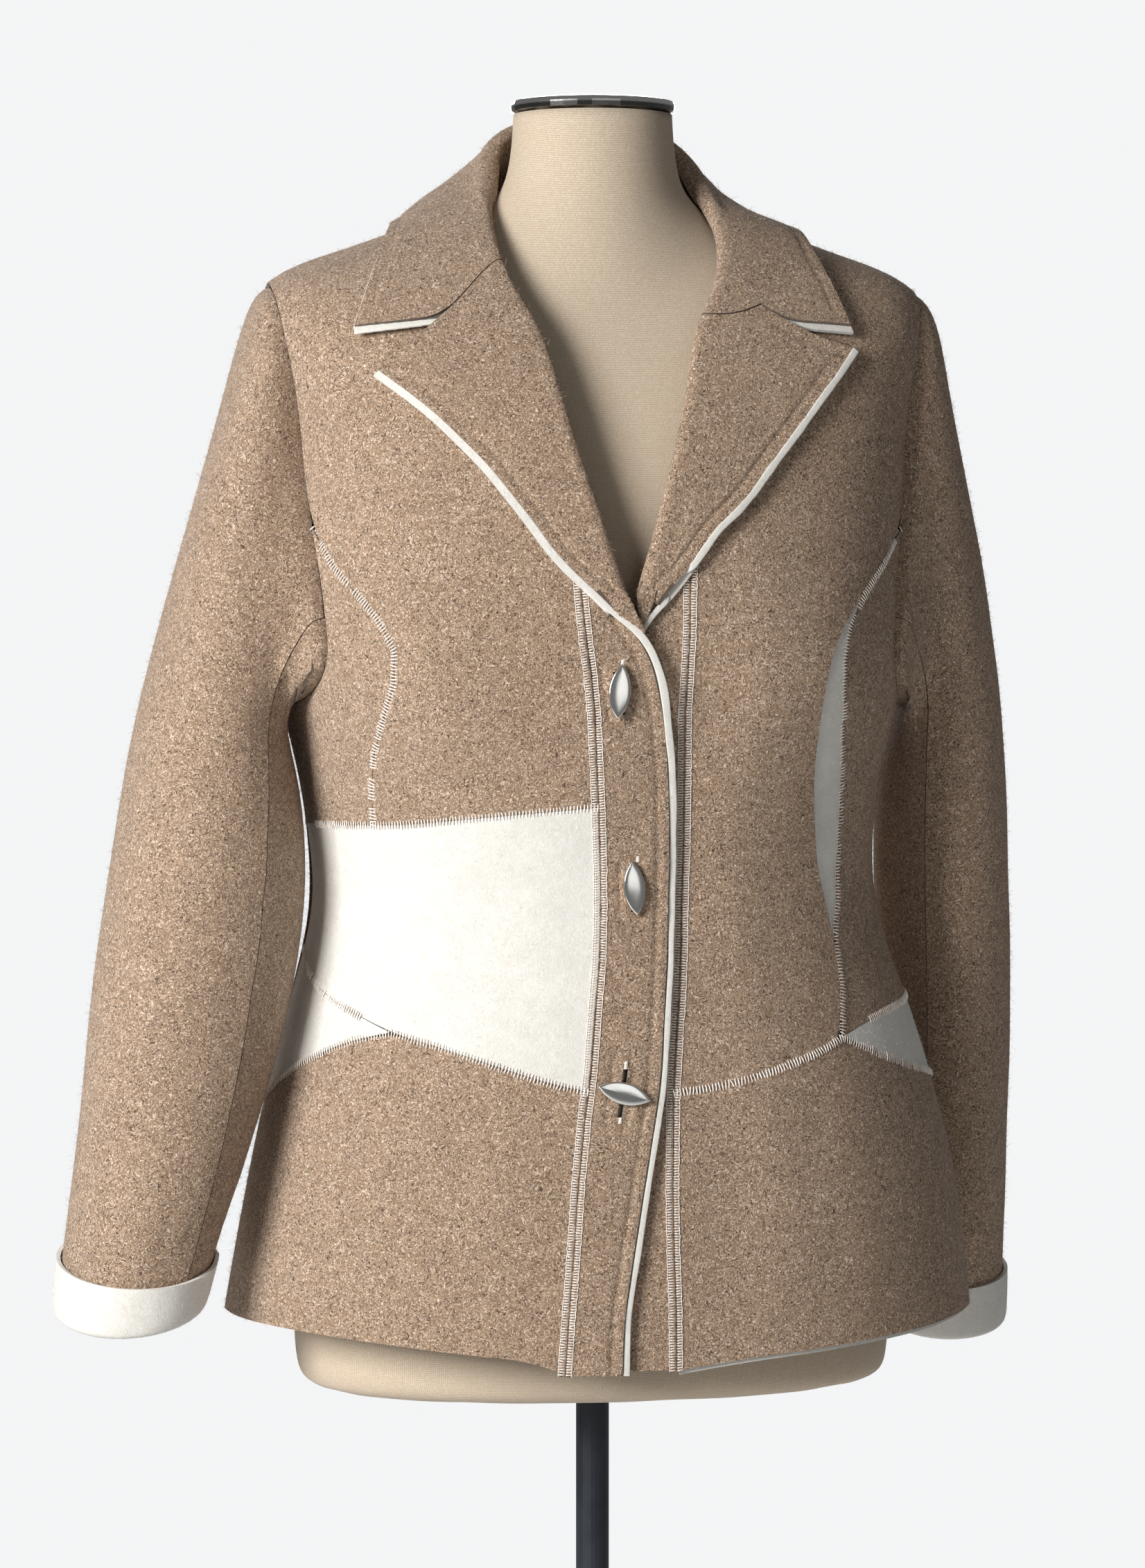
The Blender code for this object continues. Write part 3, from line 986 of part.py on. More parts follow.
def build_form():
    """The limbless dress form: torso, neck, the plate on its neck, the pole and the base."""
    angles = np.arange(0, 360, FORM_STEP)
    around = np.where(angles > 180, angles - 360, angles)
    sine = np.sin(np.radians(angles))
    cosine = np.cos(np.radians(angles))

    def ring(half, front, back, square, heights):
        power = 2.0 / square
        depth = np.where(cosine > 0, front, back)
        x = half * np.sign(sine) * np.abs(sine) ** power
        y = -np.sign(cosine) * depth * np.abs(cosine) ** power
        z = heights[0] * sine ** 2 + np.where(cosine > 0, heights[1], heights[2]) * cosine ** 2
        return np.stack([x, y, z], -1)

    rings = []
    for z, half, front, back, square in FORM_FOOT:
        rings.append(ring(half, front, back, square, (z, z, z)))
    for level in FORM_LEVELS:
        side, front, back = through(column(FORM_CLEARANCE, 0),
                                    [row[1:] for row in FORM_CLEARANCE], level)
        clear = side * sine ** 2 + np.where(cosine > 0, front, back) * cosine ** 2
        points = lay(around, np.full(len(angles), level), -(WALL + clear))
        points[:, 0] -= through(column(TORSO, 0), column(TORSO, 8), level)
        rings.append(points)
    for side_z, front_z, back_z, half, front, back in FORM_NECK:
        rings.append(ring(half, front, back, 2.0, (side_z, front_z, back_z)))
    loft("form_torso", rings, LINEN, 0.9, 0.0, 50.0)
    low = NECK_TOP + LAYER_GAP
    turned("neck_cap", [(CAP_RADIUS - 0.003, low), (CAP_RADIUS, low + 0.0015),
                        (CAP_RADIUS + 0.0005, low + CAP_THICK - 0.003),
                        (CAP_RADIUS - 0.0005, low + CAP_THICK - 0.0007),
                        (CAP_RADIUS - 0.0035, low + CAP_THICK)], NICKEL, 0.25, 1.0)
    turned("base_plate", [(BASE_RADIUS - 0.002, 0.0), (BASE_RADIUS, 0.002),
                          (BASE_RADIUS, BASE_THICK - 0.005),
                          (BASE_RADIUS - 0.004, BASE_THICK - 0.001),
                          (BASE_RADIUS - 0.010, BASE_THICK)], STEEL, 0.4, 0.9, 48)
    turned("base_socket", [(SOCKET_RADIUS, BASE_THICK + LAYER_GAP),
                           (SOCKET_RADIUS, BASE_THICK + 0.012),
                           (SOCKET_RADIUS * 0.8, BASE_THICK + 0.022),
                           (POLE_RADIUS + 0.004, SOCKET_TOP - 0.004),
                           (POLE_RADIUS + 0.003, SOCKET_TOP)], STEEL, 0.4, 0.9, 32)
    turned("pole", [(POLE_RADIUS, SOCKET_TOP + LAYER_GAP), (POLE_RADIUS, POLE_TOP)],
           STEEL, 0.35, 0.9, 24)


def build_all():
    """Every piece of the coat and of what it stands on."""
    for item in list(bpy.data.objects):
        bpy.data.objects.remove(item, do_unlink=True)
    right = build_front(-1, RIGHT_WAIST_TOP, RIGHT_BAND_SEAM, RIGHT_PRINCESS, RIGHT_HIP_SEAM,
                        RIGHT_GUSSET_EDGE, RIGHT_APEX,
                        (RIGHT_SKIRT_LEVELS, RIGHT_UPPER_LEVELS, RIGHT_PRINCESS_LEVELS))
    build_waist_panel(*right[:4])
    left = build_front(1, None, LEFT_BAND_SEAM, LEFT_PRINCESS, LEFT_HIP_SEAM, LEFT_GUSSET_EDGE,
                       LEFT_APEX, (LEFT_SKIRT_LEVELS, LEFT_UPPER_LEVELS, LEFT_PRINCESS_LEVELS))
    build_crescent()
    waist_side = levels_run(RIGHT_BAND_SEAM, [right[4][-1, 1], *RIGHT_WAIST_LEVELS,
                                              right[5][0, 1]])
    build_bands(join(right[4], waist_side, right[5]), join(left[4], left[5]))
    build_hem_strip()
    for side in (-1, 1):
        build_back(side)
        build_lapel(side)
        build_sleeve(side)
    build_collar()
    for index, (level, share, turn) in enumerate(BUTTONS, 1):
        build_button(index, level, share, turn)
    build_form()


build_all()
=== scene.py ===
"""The looks of a short wool coat on a limbless dress form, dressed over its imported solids.

Every cloth piece starts from its own solid, is smoothed, creased and given wool or linen, and the
sewing, the raw edges, the buttons and the loose fibres are added on top. Sizes are in metres.
"""
from __future__ import annotations

import json
import logging
import math
from dataclasses import dataclass, field
from enum import Enum
from typing import Iterable, Sequence

import bmesh
import bpy
import numpy as np
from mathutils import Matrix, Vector
from mathutils.bvhtree import BVHTree
from mathutils.kdtree import KDTree

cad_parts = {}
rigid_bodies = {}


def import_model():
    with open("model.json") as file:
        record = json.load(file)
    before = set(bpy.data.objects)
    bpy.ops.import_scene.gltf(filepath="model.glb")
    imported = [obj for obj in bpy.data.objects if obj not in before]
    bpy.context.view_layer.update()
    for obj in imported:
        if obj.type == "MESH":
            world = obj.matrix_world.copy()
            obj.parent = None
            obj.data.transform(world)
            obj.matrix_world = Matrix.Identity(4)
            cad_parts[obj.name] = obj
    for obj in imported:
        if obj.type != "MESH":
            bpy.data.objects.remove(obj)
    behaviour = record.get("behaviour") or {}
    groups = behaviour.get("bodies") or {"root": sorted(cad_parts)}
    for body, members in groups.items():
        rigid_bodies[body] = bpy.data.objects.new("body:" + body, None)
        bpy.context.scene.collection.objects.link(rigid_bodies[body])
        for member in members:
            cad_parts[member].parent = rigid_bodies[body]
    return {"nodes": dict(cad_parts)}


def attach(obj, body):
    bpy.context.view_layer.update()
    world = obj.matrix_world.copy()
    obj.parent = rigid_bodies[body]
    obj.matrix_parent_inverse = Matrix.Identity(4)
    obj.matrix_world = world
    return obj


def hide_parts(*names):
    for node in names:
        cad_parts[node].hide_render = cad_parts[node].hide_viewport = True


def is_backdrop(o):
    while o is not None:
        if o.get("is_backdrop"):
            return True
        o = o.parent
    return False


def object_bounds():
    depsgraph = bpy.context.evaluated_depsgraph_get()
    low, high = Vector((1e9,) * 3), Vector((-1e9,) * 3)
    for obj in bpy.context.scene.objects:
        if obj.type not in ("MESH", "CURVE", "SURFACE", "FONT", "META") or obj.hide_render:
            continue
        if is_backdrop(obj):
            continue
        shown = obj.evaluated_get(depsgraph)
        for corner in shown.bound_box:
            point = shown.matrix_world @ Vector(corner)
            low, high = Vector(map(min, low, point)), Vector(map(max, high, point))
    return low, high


log = logging.getLogger("coat")
Colour = tuple[float, float, float]
Point = tuple[float, float, float]
Array = np.ndarray
Piece = bpy.types.Object
Nodes = dict[str, Piece]
Stitches = tuple[Array, Array, Array]      # their middles, their halves and the ways out
BODY = "root"
MERGE = 1e-5                      # points nearer than this are one
CLEAR = 1e-9                      # keeps a length off 0
SHARP = math.radians(60.0)        # a fold above this is a cut edge
RIM_WIDTH = 0.0034                # the cut edge of the thickest cloth, across
JOIN_FLAT = math.radians(35.0)    # two triangles flatter than this become one face
JOIN_SHAPE = math.radians(60.0)


# Small helpers

def unit(vectors: Array) -> Array:
    """The vectors at length 1."""
    return vectors / np.maximum(np.linalg.norm(vectors, axis=-1, keepdims=True), CLEAR)


def triples(items: bpy.types.bpy_prop_collection, key: str) -> Array:
    """A vector that each of some items has.

    Args:
        items: the vertices or normals of a mesh.
        key: the vector's name.

    Returns:
        One row for each item.
    """
    flat = np.zeros(len(items) * 3, np.float32)
    items.foreach_get(key, flat)
    return flat.reshape(-1, 3).astype(float)


def points_of(mesh: bpy.types.Mesh) -> Array:
    """The vertices of a mesh as an array of points."""
    return triples(mesh.vertices, "co")


def put_points(mesh: bpy.types.Mesh, points: Array) -> None:
    """Move the vertices of a mesh to an array of points."""
    mesh.vertices.foreach_set("co", points.astype(np.float32).ravel())
    mesh.update()


def normals_of(mesh: bpy.types.Mesh) -> Array:
    """The normals at the vertices of a mesh."""
    return triples(mesh.vertex_normals, "vector")


def mesh_of(build: bmesh.types.BMesh, name: str) -> bpy.types.Mesh:
    """The mesh of a bmesh.

    Args:
        build: the shape, which is used up.
        name: the mesh's name.

    Returns:
        The mesh.
    """
    mesh = bpy.data.meshes.new(name)
    build.to_mesh(mesh)
    build.free()
    return mesh


def in_scene(name: str, data: bpy.types.ID) -> Piece:
    """A new object in the scene.

    Args:
        name: its name.
        data: its mesh, light or camera.

    Returns:
        The object, at the origin.
    """
    item = bpy.data.objects.new(name, data)
    bpy.context.scene.collection.objects.link(item)
    return item


def tube(sides: int, cuts: int) -> bmesh.types.BMesh:
    """A straight closed tube about Z, 2 long and 2 across.

    Args:
        sides: how many sides it has.
        cuts: how many rings of points lie between its ends.

    Returns:
        The tube.
    """
    build = bmesh.new()
    bmesh.ops.create_cone(build, cap_ends=True, segments=sides, radius1=1.0, radius2=1.0, depth=2.0)
    upright = [edge for edge in build.edges
               if abs(edge.verts[0].co.z - edge.verts[1].co.z) > 1.0]
    bmesh.ops.subdivide_edges(build, edges=upright, cuts=cuts)
    return build


def resampled(line: Array, pitch: float) -> Array:
    """Points at an even pitch along a line.

    Args:
        line: the line's points in order.
        pitch: the distance from one new point to the next.

    Returns:
        The new points.
    """
    steps = np.linalg.norm(np.diff(line, axis=0), axis=1)
    knots = np.concatenate([[0.0], np.cumsum(steps)])
    count = max(2, int(round(knots[-1] / pitch)) + 1)
    places = np.linspace(0.0, knots[-1], count)
    return np.stack([np.interp(places, knots, line[:, axis]) for axis in range(3)], -1)


def smoothed(line: Array, rounds: int) -> Array:
    """A line with its inner points evened out.

    Args:
        line: the line's points in order.
        rounds: how often each point moves towards its neighbours.

    Returns:
        The new points.
    """
    line = line.copy()
    for _ in range(rounds):
        line[1:-1] = (line[:-2] + 2 * line[1:-1] + line[2:]) / 4
    return line


# Shaders

class Value:
    """A shader socket that takes part in Python expressions."""

    def __init__(self, shader: Shader, socket: bpy.types.NodeSocket) -> None:
        """Keep the socket and the shader that it belongs to."""
        self.shader = shader
        self.socket = socket

    def _math(self, operation: str, first: Number, second: Number) -> Value:
        """Add one Math node."""
        made = self.shader.node("ShaderNodeMath", {"operation": operation}, {0: first, 1: second})
        return made.out(0)

    def __add__(self, other: Number) -> Value:
        """This plus the other."""
        return self._math("ADD", self, other)

    __radd__ = __add__

    def __sub__(self, other: Number) -> Value:
        """This less the other."""
        return self._math("SUBTRACT", self, other)

    def __rsub__(self, other: Number) -> Value:
        """The other less this."""
        return self._math("SUBTRACT", other, self)

    def __mul__(self, other: Number) -> Value:
        """This times the other."""
        return self._math("MULTIPLY", self, other)

    __rmul__ = __mul__

    def above(self, edge: float, width: float) -> Value:
        """0 below an edge and 1 above it.

        Args:
            edge: the edge.
            width: how wide the soft step is.

        Returns:
            The step.
        """
        ramp = self.shader.node("ShaderNodeMapRange", {"interpolation_type": "SMOOTHSTEP"},
                                {"Value": self, "From Min": edge - width / 2,
                                 "From Max": edge + width / 2})
        return ramp.out("Result")

    def wave(self) -> Value:
        """The sine of this."""
        return self._math("SINE", self, 0.0)

    def most(self, other: Number) -> Value:
        """The larger of this and the other."""
        return self._math("MAXIMUM", self, other)

    def size(self) -> Value:
        """This without its sign."""
        return self._math("ABSOLUTE", self, 0.0)


Number = float | Value


class Node:
    """A made shader node, whose outputs are values."""

    def __init__(self, shader: Shader, node: bpy.types.Node) -> None:
        """Keep the node."""
        self.shader = shader
        self.node = node

    def out(self, name: str | int) -> Value:
        """One of its outputs."""
        return Value(self.shader, self.node.outputs[name])


class Shader:
    """One material while it is being made."""

    def __init__(self, name: str) -> None:
        """Start a material with a Principled shader.

        Args:
            name: the material's name.
        """
        self.material = bpy.data.materials.new(name)
        self.material.use_nodes = True
        self.tree = self.material.node_tree
        self.surface = self.tree.nodes["Principled BSDF"]

    def node(self, kind: str, settings: dict | None = None,
             inputs: dict | None = None) -> Node:
        """Make any node.

        Args:
            kind: the node's type.
            settings: the node's own settings, which are set first. "stops" are a ramp's.
            inputs: what goes into its sockets, as numbers, tuples or values.

        Returns:
            The node.
        """
        made = self.tree.nodes.new(kind)
        for key, setting in (settings or {}).items():
            if key == "stops":
                ramp = made.color_ramp
                while len(ramp.elements) < len(setting):
                    ramp.elements.new(0.5)
                for element, (place, colour) in zip(ramp.elements, setting):
                    element.position = place
                    element.color = (*colour, 1.0)
            else:
                setattr(made, key, setting)
        for key, given in (inputs or {}).items():
            self.feed(made.inputs[key], given)
        return Node(self, made)

    def feed(self, socket: bpy.types.NodeSocket, given: object) -> None:
        """Link a value to a socket, or set the socket.

        Args:
            socket: the socket.
            given: a value, a number or a tuple.
        """
        if isinstance(given, Value):
            self.tree.links.new(given.socket, socket)
        elif isinstance(given, tuple) and socket.type == "RGBA":
            socket.default_value = (*given, 1.0)
        else:
            socket.default_value = given

    def place(self) -> Value:
        """The object's own coordinates."""
        return self.node("ShaderNodeTexCoord").out("Object")

    def axes(self, place: Value) -> tuple[Value, Value, Value]:
        """The X, Y and Z of a place."""
        made = self.node("ShaderNodeSeparateXYZ", None, {0: place})
        return made.out(0), made.out(1), made.out(2)

    def noise(self, place: Value, scale: float, detail: float = 3.0, rough: float = 0.6,
              bend: float = 0.0) -> Value:
        """Noise round one half.

        Args:
            place: the coordinates.
            scale: how many features there are in a metre.
            detail: how many finer layers it has.
            rough: how strong they are.
            bend: how far it is swirled.

        Returns:
            The noise.
        """
        made = self.node("ShaderNodeTexNoise", None,
                         {"Vector": place, "Scale": scale, "Detail": detail, "Roughness": rough,
                          "Distortion": bend})
        return made.out(0)

    def mix(self, share: Number, low: object, high: object) -> Value:
        """A colour between two.

        Args:
            share: how much of the second there is, from 0 to 1.
            low: the first colour.
            high: the second colour.

        Returns:
            The colour.
        """
        made = self.node("ShaderNodeMix", {"data_type": "RGBA", "clamp_factor": True})
        self.feed(made.node.inputs[0], share)
        self.feed(made.node.inputs[6], low)
        self.feed(made.node.inputs[7], high)
        return made.out(2)

    def colour(self, given: object) -> None:
        """Set the base colour."""
        self.feed(self.surface.inputs["Base Color"], given)

    def set(self, name: str, given: object) -> None:
        """Set one of the Principled shader's sockets."""
        self.feed(self.surface.inputs[name], given)

    def bump(self, height: Value, depth: float, strength: float) -> None:
        """Let a height shape the surface's normal.

        Args:
            height: the height, from about 0 to 1.
            depth: how far 1 stands out.
            strength: how strongly it shows, from 0 to 1.
        """
        made = self.node("ShaderNodeBump", None,
                         {"Strength": strength, "Distance": depth, "Height": height})
        self.feed(self.surface.inputs["Normal"], made.out(0))


# Finishes

@dataclass(frozen=True)
class WoolFinish:
    """Boiled wool: a matted ground with lighter and darker fibres in it."""

    name: str
    ground: Colour
    light: Colour
    dark: Colour
    light_share: float
    dark_share: float
    relief: float = 0.0011
    sheen: float = 0.25

    def make(self) -> bpy.types.Material:
        """Make the finish.

        Returns:
            The material.
        """
        shader = Shader(self.name)
        place = shader.place()
        cloud = shader.noise(place, 70.0, 4.0, 0.6)
        mat = shader.noise(place, 210.0, 5.0, 0.7, 1.2)
        curls = shader.noise(place, 330.0, 4.0, 0.68, 3.6)
        flecks = shader.noise(place, 400.0, 3.0, 0.62, 2.8)
        colour = shader.mix(cloud.above(0.5, 0.4) * 0.5, self.ground,
                            tuple(part * 0.8 for part in self.ground))
        colour = shader.mix(mat.above(0.5, 0.3) * 0.5, colour,
                            tuple((a + b) / 2 for a, b in zip(self.ground, self.dark)))
        colour = shader.mix(curls.above(0.55, 0.08) * self.light_share, colour, self.light)
        colour = shader.mix((1 - flecks).above(0.568, 0.08) * self.dark_share, colour, self.dark)
        shader.colour(colour)
        shader.set("Roughness", 0.95)
        shader.set("Sheen Weight", self.sheen)
        shader.set("Sheen Roughness", 0.6)
        shader.bump(mat * 0.6 + curls * 0.55 + flecks * 0.25, self.relief, 0.75)
        return shader.material


@dataclass(frozen=True)
class LinenFinish:
    """Plain-woven linen: warp and weft threads of uneven thickness."""

    name: str
    ground: Colour
    pale: Colour
    dark: Colour
    thread: float = 0.0011
    girth: float = 0.15

    def make(self) -> bpy.types.Material:
        """Make the finish.

        Returns:
            The material.
        """
        shader = Shader(self.name)
        place = shader.place()
        x, y, z = shader.axes(place)
        turn = shader.node("ShaderNodeMath", {"operation": "ARCTAN2"}, {0: x, 1: y}).out(0)
        wobble = shader.noise(place, 25.0, 2.0) * 2.0
        around = turn * (self.girth * math.pi / self.thread) + wobble
        upwards = z * (math.pi / self.thread) + wobble
        warp = around.wave().size()
        weft = upwards.wave().size()
        slub = shader.noise(place, 950.0, 2.0, 0.6, 0.3)
        cloud = shader.noise(place, 9.0, 2.0)
        weave = warp.most(weft)
        colour = shader.mix(weave.above(0.7, 0.5) * 0.75 + 0.15, self.dark, self.ground)
        colour = shader.mix(slub.above(0.54, 0.2) * 0.3, colour, self.pale)
        colour = shader.mix(cloud.above(0.5, 0.5) * 0.06, colour, self.dark)
        shader.colour(colour)
        shader.set("Roughness", 0.9)
        shader.set("Sheen Weight", 0.1)
        shader.bump(weave * 0.7 + slub * 0.4, 0.0004, 0.6)
        return shader.material


@dataclass(frozen=True)
class MetalFinish:
    """Metal, polished or coated, with faint wear, and a painted highlight above a level where one
    is given.
    """

    name: str
    ground: Colour
    worn: Colour
    roughness: float
    metallic: float
    grain: float
    coat: float = 0.0
    painted_highlight_above: float = 0.0
    painted_highlight: Colour = (0.8, 0.78, 0.75)

    def make(self) -> bpy.types.Material:
        """Make the finish.

        Returns:
            The material.
        """
        shader = Shader(self.name)
        place = shader.place()
        smear = shader.noise(place, 45.0, 5.0, 0.6, 0.8)
        fine = shader.noise(place, 1400.0, 2.0)
        colour = shader.mix(smear.above(0.52, 0.4) * 0.5, self.ground, self.worn)
        # Painted highlight: everything above a level takes a pale colour, standing for the light on
        # the top of a rim
        if self.painted_highlight_above:
            level = shader.axes(place)[2]
            colour = shader.mix(level.above(self.painted_highlight_above, 0.0012), colour, self.painted_highlight)
        shader.colour(colour)
        shader.set("Metallic", self.metallic)
        shader.set("Roughness", smear * (self.roughness * 0.6) + self.roughness * 0.7)
        shader.set("Coat Weight", self.coat)
        shader.bump(fine * 0.6 + smear * 0.5, 0.0002, self.grain)
        return shader.material


@dataclass(frozen=True)
class FibreFinish:
    """Thread or loose fibres, whose colour changes from one to the next."""

    name: str
    first: Colour
    second: Colour
    third: Colour
    scale: float = 320.0

    def make(self) -> bpy.types.Material:
        """Make the finish.

        Returns:
            The material.
        """
        shader = Shader(self.name)
        spot = shader.noise(shader.place(), self.scale, 1.0, 0.5)
        ramp = shader.node("ShaderNodeValToRGB",
                           {"stops": [(0.36, self.first), (0.5, self.second), (0.64, self.third)]},
                           {0: spot})
        shader.colour(ramp.out(0))
        shader.set("Roughness", spot * 0.2 + 0.75)
        shader.set("Sheen Weight", 0.2)
        return shader.material


TAUPE = WoolFinish("taupe_wool", (0.375, 0.248, 0.152), (0.8, 0.625, 0.49),
                   (0.07, 0.038, 0.02), 0.95, 0.95, 0.002, 0.1)
IVORY = WoolFinish("ivory_wool", (0.745, 0.72, 0.662), (0.83, 0.812, 0.77),
                   (0.52, 0.48, 0.415), 0.35, 0.2, 0.0007, 0.1)
# Cut edges of the taupe: the darker raw edge of the wool, made darker still as painted shade
SHADE = WoolFinish("raw_edge_wool_and_painted_shade", (0.11, 0.066, 0.04), (0.25, 0.18, 0.13),
                   (0.04, 0.024, 0.016), 0.35, 0.5)
LINEN = LinenFinish("form_linen", (0.6, 0.49, 0.365), (0.76, 0.67, 0.545),
                    (0.3, 0.215, 0.14))
NICKEL = MetalFinish("polished_nickel", (0.84, 0.83, 0.79), (0.72, 0.7, 0.66), 0.15, 1.0, 0.0)
STEEL = MetalFinish("blue_black_steel", (0.014, 0.018, 0.026), (0.03, 0.034, 0.042), 0.42, 0.3,
                    0.2, 0.1)
# The neck cap's dark metal, with a painted highlight along the top of its rim
PLATE = MetalFinish("dark_nickel_with_painted_highlight", (0.16, 0.155, 0.15), (0.07, 0.068, 0.066), 0.16, 1.0, 0.05,
                    painted_highlight_above=1.478)
THREAD = FibreFinish("pale_thread", (0.84, 0.74, 0.65), (0.93, 0.88, 0.82), (0.72, 0.6, 0.51))
# Painted shade: dark tubes sunk into the seams stand for the shade in a seam's gap and beside its
# rungs
SEAM_SHADE = FibreFinish("painted_seam_shade", (0.12, 0.075, 0.045), (0.2, 0.13, 0.085),
                           (0.08, 0.05, 0.03))
TAUPE_FIBRE = FibreFinish("taupe_fibres", (0.12, 0.07, 0.042), (0.34, 0.24, 0.16),
                          (0.66, 0.54, 0.44))
IVORY_FIBRE = FibreFinish("ivory_fibres", (0.62, 0.57, 0.49), (0.8, 0.77, 0.71),
                          (0.9, 0.88, 0.84))


class Wool(Enum):
    """The two wools of the coat, by the record's slot."""

    TAUPE = "taupe_wool"
    IVORY = "ivory_wool"

    @property
    def finish(self) -> WoolFinish:
        """The finish of its two sides."""
        return TAUPE if self is Wool.TAUPE else IVORY

    @property
    def rim(self) -> WoolFinish:
        """The finish of its cut edges; for the taupe, darker raw wool with painted shade."""
        return SHADE if self is Wool.TAUPE else IVORY


class Along(Enum):
    """How the points of a seam are put in order."""

    UP = 2
    ROUND = 1


class Palette:
    """The materials, each made once."""

    def __init__(self) -> None:
        """Start with none."""
        self.made: dict[str, bpy.types.Material] = {}

    def get(self, finish: object) -> bpy.types.Material:
        """The material of a finish."""
        if finish.name not in self.made:
            self.made[finish.name] = finish.make()
        return self.made[finish.name]


PALETTE = Palette()


# Making pieces

def piece_of(mesh: bpy.types.Mesh, name: str, finish: object,
             smooth: float = 40.0, rim: object | None = None) -> Piece:
    """A finished piece from a mesh, riding on the coat's one body.

    Args:
        mesh: the shape.
        name: the piece's name.
        finish: its finish.
        smooth: the angle in degrees above which an edge stays sharp.
        rim: the finish of its cut edges, where they have their own.

    Returns:
        The piece.
    """
    mesh.shade_smooth()
    mesh.set_sharp_from_angle(angle=math.radians(smooth))
    marks = np.zeros(len(mesh.polygons), np.int32)
    if rim:
        mesh.polygons.foreach_get("material_index", marks)
    mesh.materials.clear()
    mesh.materials.append(PALETTE.get(finish))
    if rim:
        mesh.materials.append(PALETTE.get(rim))
    mesh.polygons.foreach_set("material_index", marks)
    piece = in_scene(name, mesh)
    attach(piece, BODY)
    log.info("%s: %d faces", name, len(mesh.polygons))
    return piece


def finer(node: Piece, levels: int) -> bpy.types.Mesh:
    """A smooth, finer copy of a solid's mesh, whose rims stay sharp.

    Args:
        node: the solid's object.
        levels: how many times its faces are split.

    Returns:
        The new mesh.
    """
    build = bmesh.new()
    build.from_mesh(node.data)
    bmesh.ops.remove_doubles(build, verts=build.verts, dist=MERGE)
    bmesh.ops.join_triangles(build, faces=build.faces[:], angle_face_threshold=JOIN_FLAT,
                             angle_shape_threshold=JOIN_SHAPE)
    crease = build.edges.layers.float.new("crease_edge")
    for edge in build.edges:
        if len(edge.link_faces) == 2 and edge.calc_face_angle() > SHARP:
            edge[crease] = 1.0
    for face in build.faces:
        longest = max(edge.calc_length() for edge in face.edges)
        face.material_index = int(sum(edge[crease] for edge in face.edges) > 1.5
                                  and face.calc_area() < longest * RIM_WIDTH)
    mesh = bpy.data.meshes.new(node.name + "_cage")
    mesh.materials.append(None)
    mesh.materials.append(None)
    build.to_mesh(mesh)
    build.free()
    cage = in_scene(node.name + "_cage", mesh)
    split = cage.modifiers.new("finer", "SUBSURF")
    split.levels = levels
    split.render_levels = levels
    seen = cage.evaluated_get(bpy.context.evaluated_depsgraph_get())
    made = bpy.data.meshes.new_from_object(seen)
    bpy.data.objects.remove(cage)
    bpy.data.meshes.remove(mesh)
    return made


# Creases

@dataclass(frozen=True)
class Crease:
    """A soft trough in the cloth, or a ridge where its depth is below 0."""

    start: Point
    end: Point
    width: float
    depth: float

    def push(self, points: Array) -> Array:
        """How far the crease pushes a cloth in.

        Args:
            points: the cloth's points.

        Returns:
            The depth at each.
        """
        start = np.array(self.start)
        line = np.array(self.end) - start
        share = np.clip((points - start) @ line / (line @ line), 0.0, 1.0)
        away = np.linalg.norm(points - start - share[:, None] * line, axis=1)
        fade = 0.35 + 0.65 * np.sin(np.pi * np.clip(share, 0.02, 0.98))
        return self.depth * fade * np.exp(-((away / self.width) ** 2))


# The creases of the photograph, and plain ones where it doesn't show the coat
TORSO_CREASES = tuple(Crease(*row) for row in (
    ((-0.15, -0.06, 1.005), (-0.04, -0.125, 0.985), 0.012, 0.0015),
    ((-0.16, -0.05, 0.965), (-0.06, -0.13, 0.955), 0.012, 0.0014),
    ((0.15, -0.06, 1.01), (0.07, -0.12, 1.03), 0.012, 0.0016),
    ((0.16, -0.05, 0.975), (0.07, -0.125, 0.985), 0.012, 0.0014),
    ((-0.17, -0.06, 1.19), (-0.115, -0.11, 1.15), 0.012, 0.002),
    ((0.17, -0.06, 1.195), (0.115, -0.11, 1.15), 0.012, 0.002),
    ((-0.16, -0.08, 0.88), (-0.17, -0.08, 0.77), 0.016, 0.0018),
    ((-0.075, -0.14, 0.88), (-0.08, -0.15, 0.77), 0.018, -0.0014),
    ((0.13, -0.11, 0.88), (0.14, -0.115, 0.77), 0.018, -0.0016),
    ((0.06, -0.14, 0.87), (0.065, -0.15, 0.77), 0.016, 0.0014),
    ((-0.12, 0.085, 1.01), (0.0, 0.11, 0.99), 0.014, 0.0018),
    ((0.12, 0.085, 1.0), (0.0, 0.108, 0.975), 0.014, 0.0018),
    ((-0.15, 0.07, 1.2), (-0.08, 0.11, 1.13), 0.014, 0.0018),
    ((0.15, 0.07, 1.2), (0.08, 0.11, 1.12), 0.014, 0.0018),
    ((-0.08, 0.145, 0.88), (-0.085, 0.15, 0.77), 0.018, 0.0018),
    ((0.08, 0.145, 0.88), (0.09, 0.15, 0.77), 0.018, 0.0018),
    ((0.0, 0.15, 0.88), (0.0, 0.155, 0.77), 0.02, -0.0016),
))
